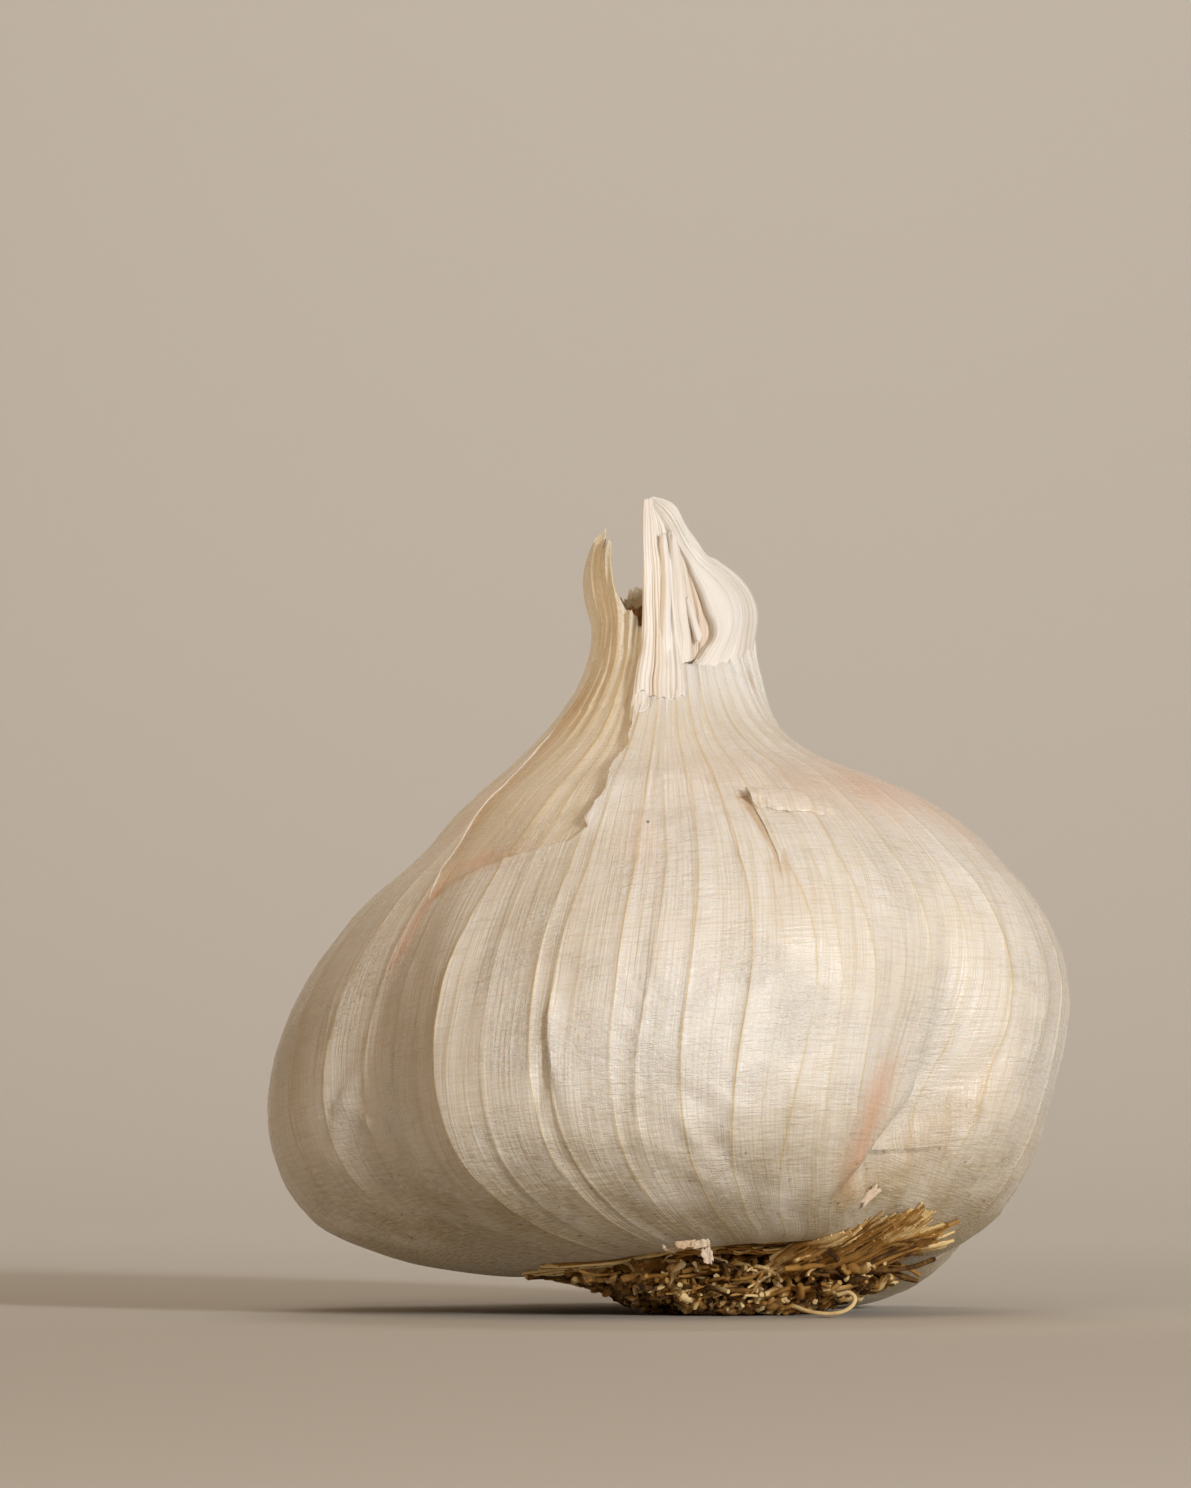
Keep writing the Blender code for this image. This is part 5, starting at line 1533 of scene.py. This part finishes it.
class GarlicRoots(bpy.types.PropertyGroup):
    """How many roots of each kind there are."""

    splayed: count_property("Splayed roots", "Roots that splay out of the pad", 520)
    curled: count_property("Curled roots", "Short cut ends that curl out", 1700)
    groove: count_property("Groove fibres", "Straw fibres up the right groove", 760)
    rim: count_property("Rim fibres", "Fibres along the front clove's edge", 190)
    crookedness: length_property("Crookedness", "How far a root strays from its path", 0.0007)


class GarlicStage(bpy.types.PropertyGroup):
    """The camera, floor and lights."""

    camera_distance: length_property("Camera distance", "From the camera to the bulb", 0.6, 0.1)
    camera_height: length_property("Camera height", "Of the camera above the floor", 0.018)
    key_power: number_property("Key light", "Power of the key light", 5.55, "POWER")
    backdrop_power: number_property("Backdrop light", "Power of the light on the backdrop", 1.5, "POWER")
    fill: number_property("Fill", "Strength of the soft surrounding light", 0.215)


# The stage

FLOOR_COLOR = "#cfcbc3"
ROOM_COLOR = "#ffcc90"
SENSOR_WIDTH = 36.0
# The picture's middle in metres, its scale and its long side
FRAME_X = -0.01116
FRAME_Z = 0.04544
PIXELS_PER_MM = 12.5
FRAME_PIXELS = 1488.0


def new_light(name, kind, power, color):
    """A light of one kind, with its power and its sRGB hex colour."""
    light = bpy.data.lights.new(name, kind)
    light.energy = power
    light.color = to_linear(color)[:3]
    return light


def place_facing(name, data, place, aim):
    """Puts a light or a camera at one place, facing another."""
    holder = bpy.data.objects.new(name, data)
    holder.location = place
    holder.rotation_euler = (Vector(aim) - Vector(place)).to_track_quat("-Z", "Y").to_euler()
    bpy.context.scene.collection.objects.link(holder)
    return holder


# Operators, one for each piece or group of pieces

class GARLIC_OT_skin(bpy.types.Operator):
    """Make the ribbed, torn papery skin over the cloves, and its lifted corner"""

    bl_idname = "garlic.make_skin"
    bl_label = "Skin"

    def execute(self, context):
        skin = make_skin()
        corner = make_lifted_corner(papery_skin_material("dry_garlic_skin_thin", 0.0))
        for piece in (skin, corner):
            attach(piece, "root")
        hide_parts("bulb")
        return {"FINISHED"}


class GARLIC_OT_neck(bpy.types.Operator):
    """Make the dry sheets that stand round the open neck"""

    bl_idname = "garlic.make_neck"
    bl_label = "Neck sheets"

    def execute(self, context):
        dry = dry_sheet_material()
        strip_folds = ((0.12, 0.30, 0.10), (0.36, -0.16, 0.07), (0.58, 0.22, 0.09), (0.86, 0.26, 0.08))
        blade_folds = ((0.2, 0.16, 0.12), (0.7, 0.14, 0.12))
        hood_folds = ((0.3, 0.08, 0.04), (0.45, 0.06, 0.04), (0.62, 0.08, 0.04))
        sheets = [
            make_sheet("neck_front_strip", FRONT_STRIP, 110, 130, dry, strip_folds, folds=12.0, fold=0.045,
                       ragged=0.2, foot=0.35, gap=0.12, brown_and_shade=(0.05, 0.0)),
            make_sheet("neck_foot_tab", FOOT_TAB, 36, 36, dry, folds=2.0, fold=0.05, foot=0.3, gap=0.28),
            make_sheet("neck_blade_left", BLADE_TWO, 70, 24, dry, ((0.5, 0.12, 0.2),), ragged=0.25, foot=0.1),
            make_sheet("neck_blade_right", BLADE_THREE, 70, 32, dry, blade_folds, ragged=0.3, foot=0.2,
                       brown_and_shade=(0.1, 0.15)),
            make_sheet("neck_inner_shard", INNER_SHARD, 40, 20, dry, ragged=0.2, foot=0.2),
            # the inner fold's brown is painted shadow under the hood's edge
            make_sheet("neck_inner_fold", INNER_FOLD, 70, 60, dry, folds=4.0, fold=0.05, ragged=0.2,
                       brown_and_shade=(0.45, 0.25)),
            # the hood's brown at its foot is painted shade under its bulge
            make_sheet("neck_hood", HOOD, 170, 170, dry, hood_folds, folds=17.0, fold=0.018, gap=0.02,
                       merge=0.3, brown_and_shade=(0.12, -0.1)),
        ]
        for sheet in sheets:
            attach(sheet, "root")
            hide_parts("bulb")
        return {"FINISHED"}


class GARLIC_OT_stub(bpy.types.Operator):
    """Make the ragged stub of the dried stalk in the neck"""

    bl_idname = "garlic.make_stub"
    bl_label = "Stalk stub"

    def execute(self, context):
        look = context.scene.garlic_look
        stub = make_stub(dry_plant_material("dry_stalk", look.stalk_dark, look.stalk_middle, look.stalk_pale))
        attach(stub, "root")
        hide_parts("stem_stub")
        return {"FINISHED"}


class GARLIC_OT_roots(bpy.types.Operator):
    """Make the matted pad of trimmed roots and the fibres round it"""

    bl_idname = "garlic.make_roots"
    bl_label = "Roots"

    def execute(self, context):
        skin = bpy.data.objects.get("papery_skin")
        if skin is None:
            raise RuntimeError("make the skin first: the roots are fitted under it")
        look = context.scene.garlic_look
        roots = context.scene.garlic_roots
        tree = skin_tree(skin)
        dry = dry_plant_material("dry_roots", look.root_dark, look.root_middle, look.root_pale)
        crook = roots.crookedness / MM
        straight = 0.5 * crook
        pieces = [
            make_root_pad(tree, dry),
            make_strands("roots_splayed", root_lines(tree, roots.splayed, 21, splayed_root), 5, crook, dry),
            make_strands("roots_curled", root_lines(tree, roots.curled, 22, curled_root), 5, crook, dry),
            make_strands("groove_fibres", root_lines(tree, roots.groove, 23, groove_fibre), 5, straight, dry),
            make_strands("rim_fibres", root_lines(tree, roots.rim, 24, rim_fibre), 4, straight, dry),
            make_strands("root_loop", [([(Vector(p), 0.17) for p in spline(LOOP, 30)], 1.0)], 6, 0.0, dry),
        ]
        for piece in pieces:
            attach(piece, "root")
            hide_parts("roots")
        scraps = make_scraps(tree, bpy.data.materials["dry_neck_sheet"])
        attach(scraps, "root")
        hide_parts("roots")
        return {"FINISHED"}


class GARLIC_OT_stage(bpy.types.Operator):
    """Set the plain pale floor and backdrop, the soft lights and the camera"""

    bl_idname = "garlic.make_stage"
    bl_label = "Stage"

    def execute(self, context):
        scene = context.scene
        stage = scene.garlic_stage
        material, _, shader = new_material("matte_pale_paper")
        shader.inputs["Base Color"].default_value = to_linear(FLOOR_COLOR)
        shader.inputs["Roughness"].default_value = 0.9
        # the floor runs back, bends up in an arc and rises as the backdrop
        bend, foot, top = 0.35, 0.45, 1.8
        line = [(-1.6, 0.0), (foot, 0.0)]
        turns = np.linspace(0.1, math.pi / 2, 14)
        line += [(foot + bend * math.sin(turn), bend - bend * math.cos(turn)) for turn in turns]
        line += [(foot + bend, top)]
        points = [(x, y, z) for y, z in line for x in (-2.4, 2.4)]
        faces = [(2 * i, 2 * i + 1, 2 * i + 3, 2 * i + 2) for i in range(len(line) - 1)]
        sweep = new_piece("floor_and_backdrop", points, faces, material)

        world = bpy.data.worlds.new("soft room")
        world.use_nodes = True
        background = world.node_tree.nodes["Background"]
        background.inputs[0].default_value = to_linear(ROOM_COLOR)
        background.inputs[1].default_value = stage.fill
        scene.world = world
        bulb = (-0.005, 0.0, 0.03)
        lights = (
            ("key", (0.515, -0.74, 0.25), bulb, 0.16, stage.key_power, "#ffffff"),
            ("high fill", (-0.10, -0.60, 0.70), bulb, 0.5, stage.key_power * 0.19, "#ffedd6"),
            ("backdrop", (0.0, 0.30, 0.60), (0.0, 0.85, 0.05), 0.4, stage.backdrop_power, "#ffffff"),
        )
        for name, place, aim, size, power, color in lights:
            light = new_light(name, "AREA", power, color)
            light.shape = "DISK"
            light.size = size
            place_facing(name, light, place, aim)
        # a narrow soft light for the neck's shaded left side
        light = new_light("neck light", "SPOT", stage.key_power * 1.9, "#ffe8c8")
        light.spot_size = math.radians(4.4)
        light.spot_blend = 1.0
        light.shadow_soft_size = 0.012
        place_facing("neck light", light, (-0.83, -0.16, 0.16), (-0.0170, -0.004, 0.0555))

        camera = bpy.data.cameras.new("camera")
        camera.sensor_width = SENSOR_WIDTH
        camera.sensor_fit = "AUTO"
        eye = Vector((FRAME_X, -stage.camera_distance, stage.camera_height))
        aim = Vector((FRAME_X, 0.0, FRAME_Z))
        camera.lens = SENSOR_WIDTH * PIXELS_PER_MM * ((aim - eye).length / MM) / FRAME_PIXELS
        camera.clip_start = 0.01
        camera.clip_end = 20.0
        scene.camera = place_facing("camera", camera, eye, aim)
        scene.view_settings.view_transform = "Standard"
        return {"FINISHED"}


class GARLIC_PT_panel(bpy.types.Panel):
    """Buttons for the garlic bulb's pieces"""

    bl_label = "Garlic Bulb"
    bl_idname = "GARLIC_PT_panel"
    bl_space_type = "VIEW_3D"
    bl_region_type = "UI"
    bl_category = "Garlic"

    def draw(self, context):
        layout = self.layout
        scene = context.scene
        for group in (scene.garlic_skin, scene.garlic_look, scene.garlic_roots, scene.garlic_stage):
            box = layout.box()
            for key in group.__annotations__:
                box.prop(group, key)
        for operator in OPERATORS:
            layout.operator(operator.bl_idname)


GROUPS = {
    "garlic_skin": GarlicSkin,
    "garlic_look": GarlicLook,
    "garlic_roots": GarlicRoots,
    "garlic_stage": GarlicStage,
}
OPERATORS = (GARLIC_OT_skin, GARLIC_OT_neck, GARLIC_OT_stub, GARLIC_OT_roots, GARLIC_OT_stage)


def register():
    for name, group in GROUPS.items():
        bpy.utils.register_class(group)
        setattr(bpy.types.Scene, name, bpy.props.PointerProperty(type=group))
    for operator in OPERATORS:
        bpy.utils.register_class(operator)
    bpy.utils.register_class(GARLIC_PT_panel)


def unregister():
    bpy.utils.unregister_class(GARLIC_PT_panel)
    for operator in reversed(OPERATORS):
        bpy.utils.unregister_class(operator)
    for name, group in reversed(GROUPS.items()):
        delattr(bpy.types.Scene, name)
        bpy.utils.unregister_class(group)


def main():
    register()
    bpy.ops.garlic.make_skin()
    bpy.ops.garlic.make_neck()
    bpy.ops.garlic.make_stub()
    bpy.ops.garlic.make_roots()
    bpy.ops.garlic.make_stage()


if __name__ == "__main__":
    main()
